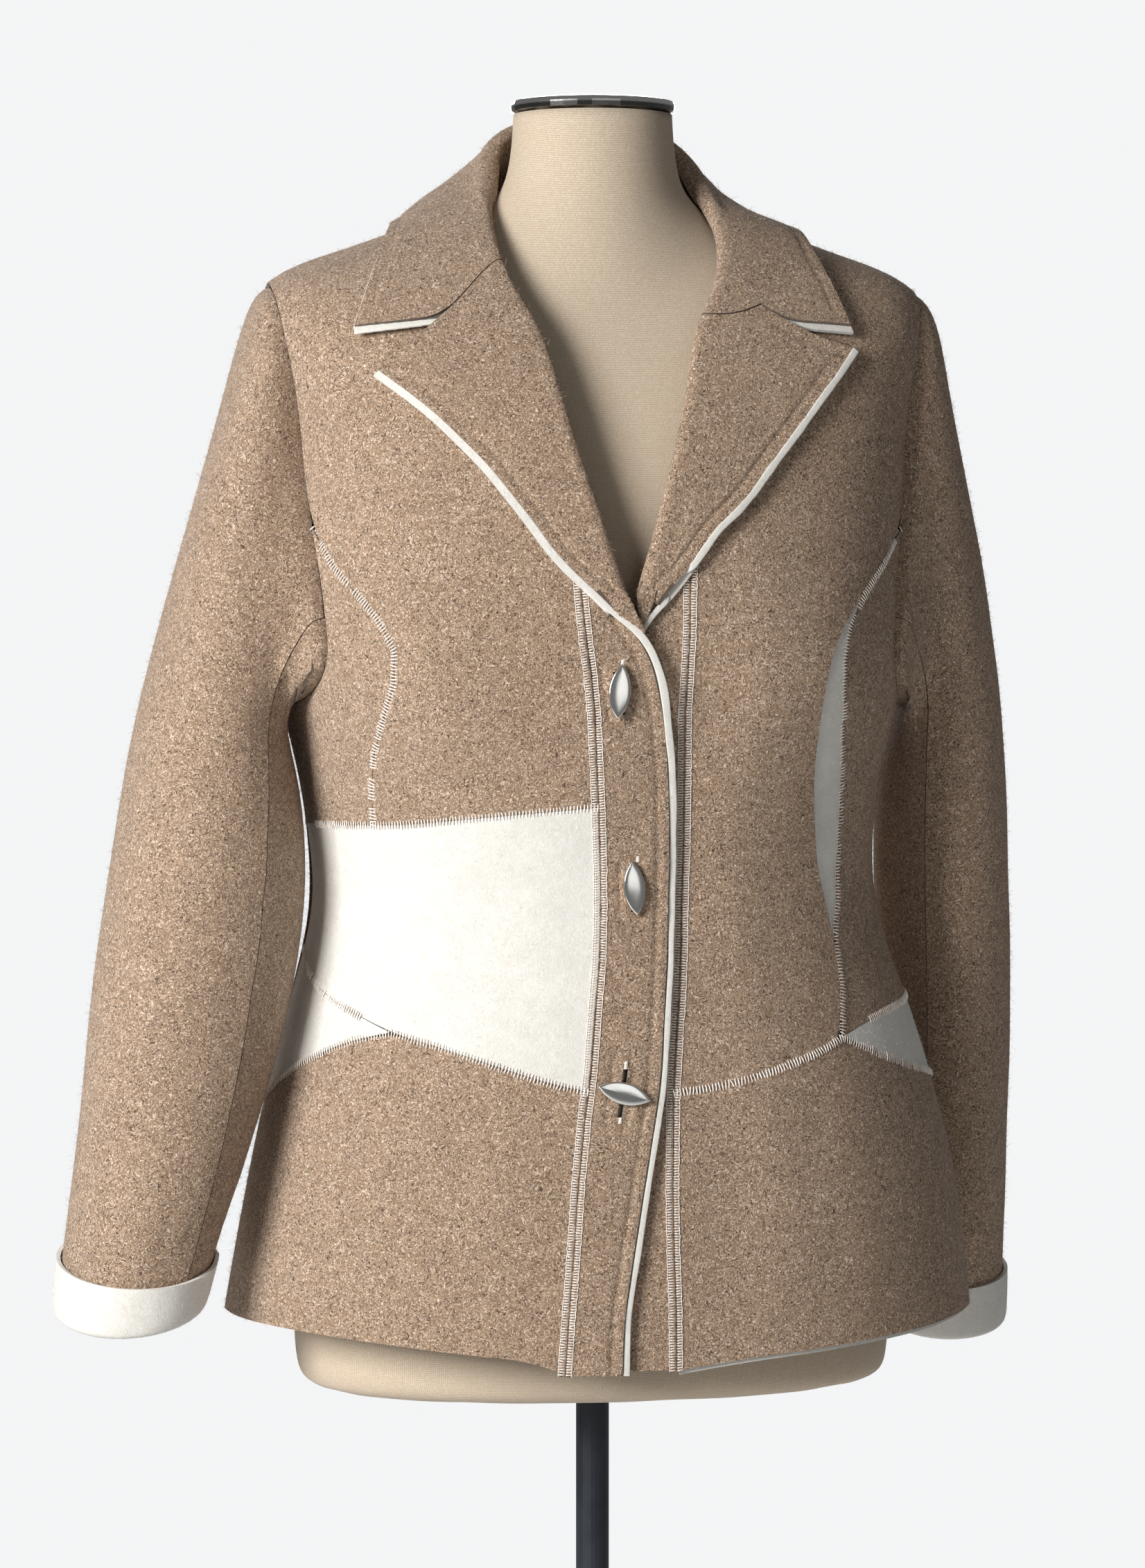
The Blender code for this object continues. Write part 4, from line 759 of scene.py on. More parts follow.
RIGHT_SLEEVE_CREASES = tuple(Crease(*row) for row in (
    ((-0.176, -0.02, 1.1), (-0.226, -0.042, 0.85), 0.034, -0.0072),
    ((-0.2, -0.066, 1.15), (-0.262, -0.06, 1.105), 0.01, 0.0028),
    ((-0.196, -0.07, 1.105), (-0.27, -0.078, 1.05), 0.01, 0.0026),
    ((-0.195, -0.08, 1.045), (-0.282, -0.088, 1.01), 0.011, 0.003),
    ((-0.196, -0.08, 1.0), (-0.285, -0.09, 0.985), 0.01, 0.0026),
    ((-0.205, -0.088, 0.95), (-0.292, -0.096, 0.93), 0.01, 0.0022),
    ((-0.215, 0.03, 1.06), (-0.29, 0.02, 1.02), 0.012, 0.0026),
    ((-0.215, 0.028, 1.0), (-0.3, 0.01, 0.975), 0.012, 0.0022),
    ((-0.245, -0.09, 0.88), (-0.305, -0.09, 0.86), 0.01, 0.0018),
))
LEFT_SLEEVE_CREASES = tuple(Crease(*row) for row in (
    ((0.168, 0.035, 1.09), (0.178, 0.058, 0.96), 0.03, -0.0045),
    ((0.205, -0.03, 1.15), (0.252, -0.035, 1.1), 0.01, 0.0028),
    ((0.2, -0.02, 1.1), (0.258, -0.028, 1.045), 0.01, 0.0026),
    ((0.205, -0.01, 1.03), (0.265, -0.012, 0.995), 0.011, 0.003),
    ((0.21, 0.005, 0.975), (0.27, 0.004, 0.955), 0.01, 0.0026),
    ((0.212, 0.022, 0.9), (0.272, 0.024, 0.885), 0.01, 0.0022),
    ((0.215, 0.105, 1.05), (0.262, 0.12, 1.01), 0.012, 0.0024),
    ((0.215, 0.12, 0.985), (0.268, 0.13, 0.955), 0.012, 0.0022),
))


@dataclass(frozen=True)
class Groove:
    """The soft trough that a row of topstitching presses beside a free edge."""

    inset: float
    way: Point | None = None
    facing: float = 0.55
    outer: float = 0.1
    depth: float = 0.0011
    width: float = 0.0017

    def push(self, mesh: bpy.types.Mesh, outwards: Array) -> Array:
        """How far each point of a cloth piece is pushed in.

        Args:
            mesh: the piece, whose cut edges have the second material.
            outwards: the way out of the coat at each point.

        Returns:
            The depths.
        """
        edge: set[int] = set()
        for face in mesh.polygons:
            if face.material_index and (self.way is None
                                        or face.normal @ Vector(self.way) > self.facing):
                edge.update(face.vertices)
        points = points_of(mesh)
        near = KDTree(len(edge))
        for index in edge:
            near.insert(points[index], index)
        near.balance()
        gaps = np.array([near.find(point)[2] for point in points])
        outer = np.sum(normals_of(mesh) * outwards, axis=1) > self.outer
        return outer * self.depth * np.exp(-(((gaps - self.inset) / self.width) ** 2))


@dataclass(frozen=True)
class Axis:
    """A line that cloth lies round, which says which way is in."""

    low: Point
    high: Point

    def outwards(self, points: Array) -> Array:
        """The way out of the cloth.

        Args:
            points: points on the cloth.

        Returns:
            The unit vectors from the line to the points.
        """
        low = np.array(self.low)
        line = np.array(self.high) - low
        share = (points - low) @ line / (line @ line)
        return unit(points - low - share[:, None] * line)


TORSO_AXIS = Axis((0.0, 0.0, 0.7), (0.0, 0.0, 1.5))
RIGHT_ARM_AXIS = Axis((-0.286, -0.049, 0.78), (-0.19, 0.0, 1.26))
LEFT_ARM_AXIS = Axis((0.246, 0.115, 0.74), (0.19, 0.005, 1.26))
RIPPLE = 0.0007                   # height of the slow unevenness of the wool
RIPPLE_WAVES = ((31.0, 17.0, 23.0, 0.4), (-19.0, 37.0, 29.0, 1.7), (43.0, -23.0, 11.0, 2.9),
                (71.0, 53.0, -61.0, 0.8), (-83.0, 67.0, 47.0, 2.2))


def rippled(points: Array) -> Array:
    """A slow unevenness, which is the same for neighbours.

    Args:
        points: the cloth's points.

    Returns:
        A number from -1 to 1 for each.
    """
    total = np.zeros(len(points))
    for across, deep, up, start in RIPPLE_WAVES:
        total += np.sin(points @ np.array([across, deep, up]) + start)
    return total / len(RIPPLE_WAVES)


# Cloth

TOPSTITCHED = Groove(0.0065)
CLOTH_LEVELS = 2                  # how often the faces of plain cloth are split
GROOVED_LEVELS = 3                # and of cloth with topstitching


@dataclass
class ClothPanel:
    """One cut piece of cloth, made from its solid."""

    node: str
    wool: Wool
    flat: tuple[float, float]
    area: float
    axis: Axis = TORSO_AXIS
    creases: Sequence[Crease] = TORSO_CREASES
    groove: Groove | None = None
    piece: Piece | None = field(default=None, init=False)

    def build(self, nodes: Nodes) -> Piece:
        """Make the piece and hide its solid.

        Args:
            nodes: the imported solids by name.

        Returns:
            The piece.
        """
        mesh = finer(nodes[self.node], GROOVED_LEVELS if self.groove else CLOTH_LEVELS)
        points = points_of(mesh)
        push = -RIPPLE * rippled(points)
        for crease in self.creases:
            push += crease.push(points)
        outwards = self.axis.outwards(points)
        if self.groove:
            push += self.groove.push(mesh, outwards)
        points -= outwards * push[:, None]
        put_points(mesh, points)
        self.piece = piece_of(mesh, self.node + "_cloth", self.wool.finish,
                              rim=self.wool.rim)
        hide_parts(self.node)
        return self.piece

    def declare(self, trims: Sequence[Piece] = ()) -> None:
        """Does nothing."""


PANELS = [
    ClothPanel("back_left", Wool.TAUPE, (0.31, 0.758), 0.1696),
    ClothPanel("back_right", Wool.TAUPE, (0.31, 0.755), 0.1691),
    ClothPanel("collar", Wool.TAUPE, (0.577, 0.156), 0.0557, creases=(), groove=TOPSTITCHED),
    ClothPanel("left_crescent", Wool.IVORY, (0.025, 0.225), 0.0034),
    ClothPanel("left_cuff", Wool.IVORY, (0.3, 0.056), 0.0151, LEFT_ARM_AXIS, ()),
    ClothPanel("left_front_band", Wool.TAUPE, (0.057, 0.562), 0.0225),
    ClothPanel("left_front_skirt", Wool.TAUPE, (0.29, 0.188), 0.0442),
    ClothPanel("left_front_upper", Wool.TAUPE, (0.17, 0.592), 0.0665),
    ClothPanel("left_hem_strip", Wool.IVORY, (0.284, 0.016), 0.0041),
    ClothPanel("left_hip_gusset", Wool.IVORY, (0.138, 0.056), 0.0046),
    ClothPanel("left_lapel", Wool.TAUPE, (0.207, 0.12), 0.014, creases=(), groove=TOPSTITCHED),
    ClothPanel("left_side_front", Wool.TAUPE, (0.174, 0.347), 0.0247),
    ClothPanel("left_sleeve_under", Wool.TAUPE, (0.217, 0.5), 0.0464, LEFT_ARM_AXIS,
               LEFT_SLEEVE_CREASES),
    ClothPanel("left_sleeve_upper", Wool.TAUPE, (0.448, 0.672), 0.1321, LEFT_ARM_AXIS,
               LEFT_SLEEVE_CREASES),
    ClothPanel("left_under_lapel", Wool.IVORY, (0.206, 0.082), 0.0082, creases=()),
    ClothPanel("right_cuff", Wool.IVORY, (0.316, 0.054), 0.0145, RIGHT_ARM_AXIS, ()),
    ClothPanel("right_facing", Wool.IVORY, (0.014, 0.443), 0.0059),
    ClothPanel("right_front_band", Wool.TAUPE, (0.042, 0.565), 0.0187,
               groove=Groove(TOPSTITCHED.inset, (1.0, 0.0, 0.0))),
    ClothPanel("right_front_skirt", Wool.TAUPE, (0.266, 0.187), 0.0418),
    ClothPanel("right_front_upper", Wool.TAUPE, (0.17, 0.423), 0.0566),
    ClothPanel("right_hip_gusset", Wool.IVORY, (0.127, 0.093), 0.0047),
    ClothPanel("right_lapel", Wool.TAUPE, (0.233, 0.127), 0.0162, creases=(), groove=TOPSTITCHED),
    ClothPanel("right_side_front", Wool.TAUPE, (0.17, 0.215), 0.0112),
    ClothPanel("right_sleeve_under", Wool.TAUPE, (0.218, 0.436), 0.0431, RIGHT_ARM_AXIS,
               RIGHT_SLEEVE_CREASES),
    ClothPanel("right_sleeve_upper", Wool.TAUPE, (0.449, 0.631), 0.1367, RIGHT_ARM_AXIS,
               RIGHT_SLEEVE_CREASES),
    ClothPanel("right_under_lapel", Wool.IVORY, (0.222, 0.089), 0.0099, creases=()),
    ClothPanel("right_waist_panel", Wool.IVORY, (0.243, 0.168), 0.0282),
    ClothPanel("under_collar", Wool.IVORY, (0.573, 0.088), 0.0284, creases=()),
]


class Surface:
    """The cloth's surface, asked for the place under a point."""

    def __init__(self, pieces: Iterable[Piece]) -> None:
        """Collect the faces.

        Args:
            pieces: the cloth pieces.
        """
        points: list[Array] = []
        faces: list[tuple[int, ...]] = []
        base = 0
        for piece in pieces:
            own = points_of(piece.data)
            points.append(own)
            faces += [tuple(corner + base for corner in face.vertices)
                      for face in piece.data.polygons]
            base += len(own)
        self.tree = BVHTree.FromPolygons(np.concatenate(points).tolist(), faces)

    def drop(self, point: Array, out: Array, reach: float = 0.008) -> Array:
        """The place on the surface under a point, seen from outside.

        Args:
            point: a point near the surface.
            out: the way out of the coat there.
            reach: how far above the point to start.

        Returns:
            The place, or the point where nothing is met.
        """
        start = Vector(point + out * reach)
        place = self.tree.ray_cast(start, Vector(-out), 2 * reach)[0]
        return point if place is None else np.array(place)


# Seams and sewing

SEAM_GAP = 0.0022                 # how far apart two rims of one seam may lie
FACING_OUT = 0.35                 # how far a face turns outwards, as a cosine


def outer_rim(node: Piece, axis: Axis) -> tuple[Array, Array]:
    """The rim of a solid's outer side.

    Args:
        node: the solid's object.
        axis: the line that the cloth lies round.

    Returns:
        The rim's points, and the normals of the cloth's face beside them.
    """
    build = bmesh.new()
    build.from_mesh(node.data)
    bmesh.ops.remove_doubles(build, verts=build.verts, dist=MERGE)
    places: list[Array] = []
    normals: list[Array] = []
    for vertex in build.verts:
        if not any(len(edge.link_faces) == 2 and edge.calc_face_angle() > SHARP
                   for edge in vertex.link_edges):
            continue
        widest = max(vertex.link_faces, key=lambda face: face.calc_area())
        point = np.array(vertex.co)
        out = axis.outwards(point[None])[0]
        normal = np.array(widest.normal)
        if normal @ out > FACING_OUT:
            places.append(point)
            normals.append(normal)
    build.free()
    return np.array(places), np.array(normals)


@dataclass(frozen=True)
class Seam:
    """A seam between one solid and others, with the thread that shows on it."""

    name: str
    first: str
    others: tuple[str, ...]
    along: Along
    width: float = 0.005
    pitch: float = 0.002
    rows: int = 1
    # whether the seam gets a dark tube of painted shade in its gap
    bedded: bool = False
    axis: Axis = TORSO_AXIS

    def stations(self, nodes: Nodes) -> tuple[Array, Array]:
        """Where the stitches of the seam lie.

        Args:
            nodes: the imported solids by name.

        Returns:
            The seam's line at the stitches' pitch, and the way out of the cloth there.
        """
        found = np.concatenate([outer_rim(nodes[other], self.axis)[0] for other in self.others])
        near = KDTree(len(found))
        for index, point in enumerate(found):
            near.insert(point, index)
        near.balance()
        line: list[Array] = []
        outs: list[Array] = []
        points, normals = outer_rim(nodes[self.first], self.axis)
        for point, normal in zip(points, normals):
            place, _, gap = near.find(point)
            if gap < SEAM_GAP:
                line.append((point + np.array(place)) / 2)
                outs.append(normal)
        middle = np.array(line)
        if self.along is Along.UP:
            order = np.argsort(middle[:, 2])
        else:
            order = np.argsort(np.arctan2(middle[:, 0], -middle[:, 1]))
        middle = middle[order]
        out = np.array(outs)[order]
        spaced = resampled(middle, self.pitch)
        places = np.array([np.argmin(np.linalg.norm(middle - point, axis=1)) for point in spaced])
        return smoothed(spaced, rounds=3), unit(smoothed(out[places], rounds=12))


SEAMS = [
    Seam("right_band_stitches", "right_front_band",
         ("right_front_skirt", "right_waist_panel", "right_front_upper"), Along.UP, 0.0034, 0.0016,
         rows=2),
    Seam("left_band_stitches", "left_front_band", ("left_front_skirt", "left_front_upper"),
         Along.UP, 0.0034, 0.0016, rows=2),
    Seam("right_waist_stitches", "right_waist_panel", ("right_front_upper", "right_side_front"),
         Along.ROUND),
    Seam("right_hip_stitches", "right_front_skirt", ("right_waist_panel", "right_hip_gusset"),
         Along.ROUND),
    Seam("right_gusset_stitches", "right_hip_gusset", ("right_waist_panel",), Along.ROUND),
    Seam("right_princess_stitches", "right_front_upper", ("right_side_front",), Along.UP,
         bedded=True),
    Seam("left_princess_stitches", "left_side_front", ("left_front_upper", "left_crescent"),
         Along.UP, bedded=True),
    Seam("left_hip_stitches", "left_front_skirt", ("left_front_upper", "left_hip_gusset"),
         Along.ROUND),
    Seam("left_gusset_stitches", "left_hip_gusset", ("left_side_front",), Along.ROUND),
    Seam("back_stitches", "back_left", ("back_right",), Along.UP),
]


@dataclass
class Thread:
    """Short stitches of one thread, each a bent, closed tube."""

    radius: float = 0.00042
    sides: int = 4
    cuts: int = 3
    thinner: float = 0.45

    def sew(self, name: str, centres: Array, halves: Array, outs: Array,
            girths: Array, rise: float, finish: FibreFinish) -> Piece:
        """Lay a row of stitches.

        Args:
            name: the piece's name.
            centres: the middle of each stitch.
            halves: half of each stitch, from its middle to its end.
            outs: the way out of the cloth at each.
            girths: the thread's thickness at each, as a share of its own.
            rise: how much higher the middle stands than the ends.
            finish: the thread.

        Returns:
            The piece.
        """
        template = mesh_of(tube(self.sides, self.cuts), "stitch")
        own = points_of(template)
        build = bmesh.new()
        for _ in range(len(centres)):
            build.from_mesh(template)
        mesh = mesh_of(build, name)
        bpy.data.meshes.remove(template)
        along = own[:, 2]
        bend = rise * np.cos(along * math.pi / 2)
        sides = unit(np.cross(unit(halves), outs))
        taper = girths[:, None, None] * (1 - self.thinner * np.abs(along) ** 4)[None, :, None]
        points = (centres[:, None] + halves[:, None] * along[None, :, None]
                  + outs[:, None] * (bend[None, :, None]
                                     + own[None, :, :1] * self.radius * taper)
                  + sides[:, None] * own[None, :, 1:2] * self.radius * taper)
        put_points(mesh, points.reshape(-1, 3))
        return piece_of(mesh, name, finish)


@dataclass
class Sewing:
    """The stitches that show on the coat."""

    nodes: Nodes
    surface: Surface
    seed: int = 11
    row_shift: float = 0.0022
    uneven: float = 0.07
    slant: float = 0.1
    wander: float = 0.00012
    rung_rise: float = 0.00035
    chain: float = 0.62
    chain_girth: float = 0.55
    cover: float = 0.0025
    lift: float = 0.00015
    # The dark tubes of painted shade under the rungs: their radius, length and depth, and those in
    # the seam's gap
    bed: float = 0.0013
    bed_length: float = 0.75
    bed_sunk: float = 0.00115
    gap_shade_girth: float = 0.5
    gap_shade_sunk: float = 0.0002

    def __post_init__(self) -> None:
        """Start the random draws."""
        self.random = np.random.default_rng(self.seed)

    def ladder(self, seam: Seam) -> list[Piece]:
        """The thread of one seam: rungs across it, and chains along both ends of the rungs.

        Args:
            seam: the seam.

        Returns:
            The pale thread, and for a double or shaded row the dark tubes of painted shade under
            it.
        """
        line, outs = seam.stations(self.nodes)
        along = unit(np.gradient(line, axis=0))
        across = unit(np.cross(along, outs))
        double = seam.rows > 1
        shift = self.row_shift if double else 0.0
        lines: list[Stitches] = []
        for side in [-shift, shift] if double else [0.0]:
            half = seam.width / 2 * (1 + self.random.normal(0, self.uneven, len(line)))
            lean = seam.width / 2 * self.random.normal(0, self.slant, len(line))
            lines.append(self.laid(line + across * side,
                                   across * half[:, None] + along * lean[:, None], outs))
        for side in (-1, 1) if double else ():
            wander = self.random.normal(0, self.wander, len(line))[:, None]
            edge = line + across * (side * (shift + seam.width / 2) + wander)
            lines.append(self.laid(edge, along * seam.pitch * self.chain, outs))
        rungs = self.threaded(Thread(), seam.name, lines, [1.0] * seam.rows, self.chain_girth,
                              self.rung_rise, THREAD)
        if not double and not seam.bedded:
            return [rungs]
        # Dark tubes of painted shade: one in the seam's gap, and one under each row of a double
        # seam
        shades: list[Stitches] = []
        painted_shade_rows = [(-shift, self.bed_sunk), (shift, self.bed_sunk)] if double else []
        for side, sunk in [(0.0, self.gap_shade_sunk), *painted_shade_rows]:
            places, halves, ways = self.laid(line + across * side,
                                             along * seam.pitch * self.bed_length, outs)
            shades.append((places - ways * sunk, halves, ways))
        return [rungs, self.threaded(Thread(self.bed), seam.name.replace("stitches", "bed"),
                                     shades, [self.gap_shade_girth], 1.0, 0.0, SEAM_SHADE)]

    @staticmethod
    def threaded(thread: Thread, name: str, rows: list, first: list[float], rest: float,
                 rise: float, finish: FibreFinish) -> Piece:
        """Some rows of stitches as one piece.

        Args:
            thread: the thread.
            name: the piece's name.
            rows: the middles, halves and ways out of each row's stitches.
            first: the girths of the first rows.
            rest: the girth of the others.
            rise: how much higher the middle of a stitch stands than its ends.
            finish: the thread's finish.

        Returns:
            The piece.
        """
        girths = [*first, *[rest] * (len(rows) - len(first))]
        own = np.concatenate([np.full(len(row[0]), girth) for row, girth in zip(rows, girths)])
        return thread.sew(name, *(np.concatenate(part) for part in zip(*rows)), own, rise, finish)

    def laid(self, centres: Array, halves: Array,
             outs: Array) -> Stitches:
        """Stitches laid on the cloth, without those that other cloth covers.

        Args:
            centres: the middle of each stitch.
            halves: half of each stitch.
            outs: the way out of the cloth at each.

        Returns:
            The same three for the stitches that show.
        """
        places = np.array([self.surface.drop(point, out) for point, out in zip(centres, outs)])
        lift = np.sum((places - centres) * outs, axis=1)
        shown = lift < self.cover
        return places[shown] + outs[shown] * self.lift, halves[shown], outs[shown]

    def build(self) -> dict[str, list[Piece]]:
        """The pieces of each seam, by the solid that they are sewn on."""
        return {seam.first: self.ladder(seam) for seam in SEAMS}


# Trim at the break of the lapels and under the collar

@dataclass(frozen=True)
class Edge:
    """The side of a solid's outer rim towards the wearer's left, which a tape follows."""

    node: str
    low: float
    high: float
    aside: float = 0.0022
    raised: float = 0.0004
    downwards: bool = False
    level: float = 0.006
    step: float = 0.004

    def rows(self, nodes: Nodes) -> Array:
        """The middle line of the tape, beside the rim.

        Args:
            nodes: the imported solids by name.

        Returns:
            The line's points in order.
        """
        places, outs = outer_rim(nodes[self.node], TORSO_AXIS)
        level_with = np.abs(places[:, None, 2] - places[None, :, 2]) < self.level
        further_left = places[None, :, 0] > places[:, None, 0] + self.step
        fits = (places[:, 2] > self.low) & (places[:, 2] < self.high) \
            & ~(level_with & further_left).any(axis=1)
        places, outs = places[fits], outs[fits]
        order = np.argsort(places[:, 2])
        places, outs = places[order], outs[order]
        along = unit(np.gradient(places, axis=0))
        across = unit(np.cross(along, outs))
        rows = places + across * self.aside + outs * self.raised
        return rows[::-1] if self.downwards else rows


@dataclass(frozen=True)
class Tape:
    """A narrow run of cloth with a flattened section, along a line."""

    name: str
    wool: Wool
    line: tuple[Point, ...]
    widths: tuple[float, ...]
    thicks: tuple[float, ...]
    out: Point = (0.0, -1.0, 0.0)
    edge: Edge | None = None
    pitch: float = 0.0014
    sides: int = 16
    square: float = 0.42
    smooth: float = 60.0

    def build(self, nodes: Nodes) -> Piece:
        """Make the run of cloth.

        Args:
            nodes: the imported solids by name.

        Returns:
            The piece.
        """
        line = np.array(self.line)
        if self.edge:
            line = np.concatenate([self.edge.rows(nodes), line])
        rows = smoothed(resampled(line, self.pitch), rounds=6)
        count = len(rows)
        places = np.linspace(0.0, 1.0, count)
        knots = np.linspace(0.0, 1.0, len(self.widths))
        wobble = 1 + 0.05 * np.sin(places * 47.0) + 0.04 * np.sin(places * 91.0 + 1.0)
        wide = np.interp(places, knots, self.widths) * wobble
        thick = np.interp(places, knots, self.thicks)
        along = unit(np.gradient(rows, axis=0))
        across = unit(np.cross(along, np.array(self.out)))
        outs = unit(np.cross(across, along))
        build = tube(self.sides, count - 2)
        for vertex in build.verts:
            row = int(round((vertex.co.z + 1) / 2 * (count - 1)))
            flat = np.sign(vertex.co.x) * abs(vertex.co.x) ** self.square * wide[row] / 2
            high = np.sign(vertex.co.y) * abs(vertex.co.y) ** self.square * thick[row] / 2
            vertex.co = rows[row] + across[row] * flat + outs[row] * high
        bmesh.ops.recalc_face_normals(build, faces=build.faces)
        return piece_of(mesh_of(build, self.name), self.name, self.wool.finish,
                        self.smooth)


TAPES = {
    "right_under_lapel": Tape("right_break_strip", Wool.IVORY, (
        (0.0195, -0.1437, 1.118), (0.0178, -0.1439, 1.1285), (0.0153, -0.144, 1.1374),
        (0.0124, -0.1441, 1.1451), (0.0095, -0.1441, 1.1508), (0.0058, -0.1442, 1.1561),
        (0.0013, -0.1443, 1.161), (-0.0045, -0.1443, 1.1658), (-0.0123, -0.1441, 1.1723),
        (-0.0208, -0.1434, 1.1796), (-0.0276, -0.1424, 1.186)
    ), (0.0036, 0.0034, 0.0036, 0.0046, 0.0046), (0.0016, 0.0018, 0.0018, 0.0018, 0.0018),
        edge=Edge("right_facing", 0.7, 1.098, -0.0017, 0.0015)),
    "left_under_lapel": Tape("left_break_strip", Wool.IVORY, (
        (0.0217, -0.1384, 1.1791), (0.0162, -0.1388, 1.1735), (0.0108, -0.1392, 1.1678),
        (0.0079, -0.1395, 1.1637), (0.0049, -0.1397, 1.1597)
    ), (0.004, 0.0042, 0.0042, 0.0036), (0.0016, 0.0018, 0.0018, 0.0014),
        edge=Edge("left_lapel", 1.184, 1.33, 0.0019, 0.0, True)),
    "right_lapel": Tape("right_break_end", Wool.TAUPE, (
        (-0.0111, -0.147, 1.1836), (-0.009, -0.1468, 1.1792), (-0.0069, -0.1462, 1.1755),
        (-0.0014, -0.1456, 1.1691), (0.0024, -0.145, 1.1646), (0.0066, -0.1443, 1.1597)
    ), (0.01, 0.0118, 0.0112, 0.0072, 0.0044, 0.0014),
        (0.0004, 0.0012, 0.0026, 0.003, 0.003, 0.002)),
    "left_lapel": Tape("left_break_end", Wool.TAUPE, (
        (0.0102, -0.1404, 1.1856), (0.0089, -0.1404, 1.1816), (0.0077, -0.1402, 1.1775),
        (0.0069, -0.14, 1.171), (0.0066, -0.1398, 1.1662), (0.0058, -0.1396, 1.1613)
    ), (0.009, 0.0106, 0.0104, 0.0066, 0.0036, 0.0014),
        (0.0004, 0.001, 0.0024, 0.0028, 0.0026, 0.0018)),
    "under_collar": Tape("right_notch_strip", Wool.IVORY, (
        (-0.103, -0.0872, 1.3452), (-0.1067, -0.0885, 1.3426), (-0.1243, -0.087, 1.3405),
        (-0.1412, -0.0845, 1.3387), (-0.156, -0.0809, 1.337)
    ), (0.003, 0.004, 0.0044, 0.0048, 0.0052), (0.0016, 0.0018, 0.0018, 0.0018, 0.0018),
        (0.0, -0.81, 0.58)),
}


# Loose fibres

@dataclass
class Fuzz:
    """Loose fibres that stand off the wool."""

    name: str
    finish: FibreFinish
    wool: Wool
    count: int
    length: float
    seed: int
    width: float = 0.00014
    stand: tuple[float, float] = (0.12, 0.75)
    reach: tuple[float, float] = (0.5, 1.3)
    bend: float = 0.14
    tip: float = 0.3
    facing: float = -0.35

    def build(self, panels: Sequence[ClothPanel]) -> Piece:
        """Scatter the fibres over the outer sides of some panels.

        Args:
            panels: the panels that carry the fibres.

        Returns:
            The piece.
        """
        random = np.random.default_rng(self.seed)
        corners: list[Array] = []
        for panel in panels:
            mesh = panel.piece.data
            mesh.calc_loop_triangles()
            index = np.zeros(len(mesh.loop_triangles) * 3, np.int32)
            mesh.loop_triangles.foreach_get("vertices", index)
            own = points_of(mesh)[index.reshape(-1, 3)]
            normal = np.cross(own[:, 1] - own[:, 0], own[:, 2] - own[:, 0])
            out = panel.axis.outwards(own.mean(axis=1))
            corners.append(own[np.sum(unit(normal) * out, axis=1) > self.facing])
        triangles = np.concatenate(corners)
        cross = np.cross(triangles[:, 1] - triangles[:, 0], triangles[:, 2] - triangles[:, 0])
        area = np.linalg.norm(cross, axis=1)
        chosen = random.choice(len(triangles), self.count, p=area / area.sum())
        first, second = random.random((2, self.count))
        over = first + second > 1
        first[over] = 1 - first[over]
        second[over] = 1 - second[over]
        base = triangles[chosen]
        root = (base[:, 0] + (base[:, 1] - base[:, 0]) * first[:, None]
                + (base[:, 2] - base[:, 0]) * second[:, None])
        normal = unit(cross[chosen])
        lean = unit(np.cross(normal, random.normal(size=(self.count, 3))))
        stand = random.uniform(*self.stand, self.count)[:, None]
        reach = self.length * random.uniform(*self.reach, self.count)[:, None]
        tip = root + unit(lean + normal * stand) * reach
        middle = (root + tip) / 2 + unit(np.cross(lean, normal)) * reach \
            * random.normal(0, self.bend, self.count)[:, None]
        side = unit(np.cross(tip - root, random.normal(size=(self.count, 3)))) * self.width / 2
        rows = np.stack([root - side, root + side, middle - side, middle + side,
                         tip - side * self.tip, tip + side * self.tip], 1)
        return self.strands(rows)

    def strands(self, rows: Array) -> Piece:
        """The fibres as one piece of bent ribbons.

        Args:
            rows: the two edges of each fibre at its root, its middle and its tip.

        Returns:
            The piece.
        """
        build = bmesh.new()
        columns = 2 * self.count - 1
        bmesh.ops.create_grid(build, x_segments=columns, y_segments=2, size=0.5)
        spare = []
        for face in build.faces:
            middle = sum(vertex.co.x for vertex in face.verts) / 4 + 0.5
            if int(middle * columns) % 2:
                spare.append(face)
        bmesh.ops.delete(build, geom=spare, context="FACES")
        mesh = mesh_of(build, self.name)
        places = points_of(mesh)
        column = np.rint((places[:, 0] + 0.5) * columns).astype(int)
        level = np.rint((places[:, 1] + 0.5) * 2).astype(int)
        put_points(mesh, rows[column // 2, level * 2 + column % 2])
        return piece_of(mesh, self.name, self.finish, 180.0)


# Metal and form

# The button's rings from its back to its top: share of the outline, and height
BUTTON_PROFILE = ((0.9, 0.0), (0.96, 0.0001), (1.0, 0.0007), (1.0, 0.0024), (0.985, 0.0031),
                  (0.955, 0.0034), (0.92, 0.0035), (0.88, 0.00358), (0.72, 0.00375),
                  (0.45, 0.0039), (0.16, 0.004))


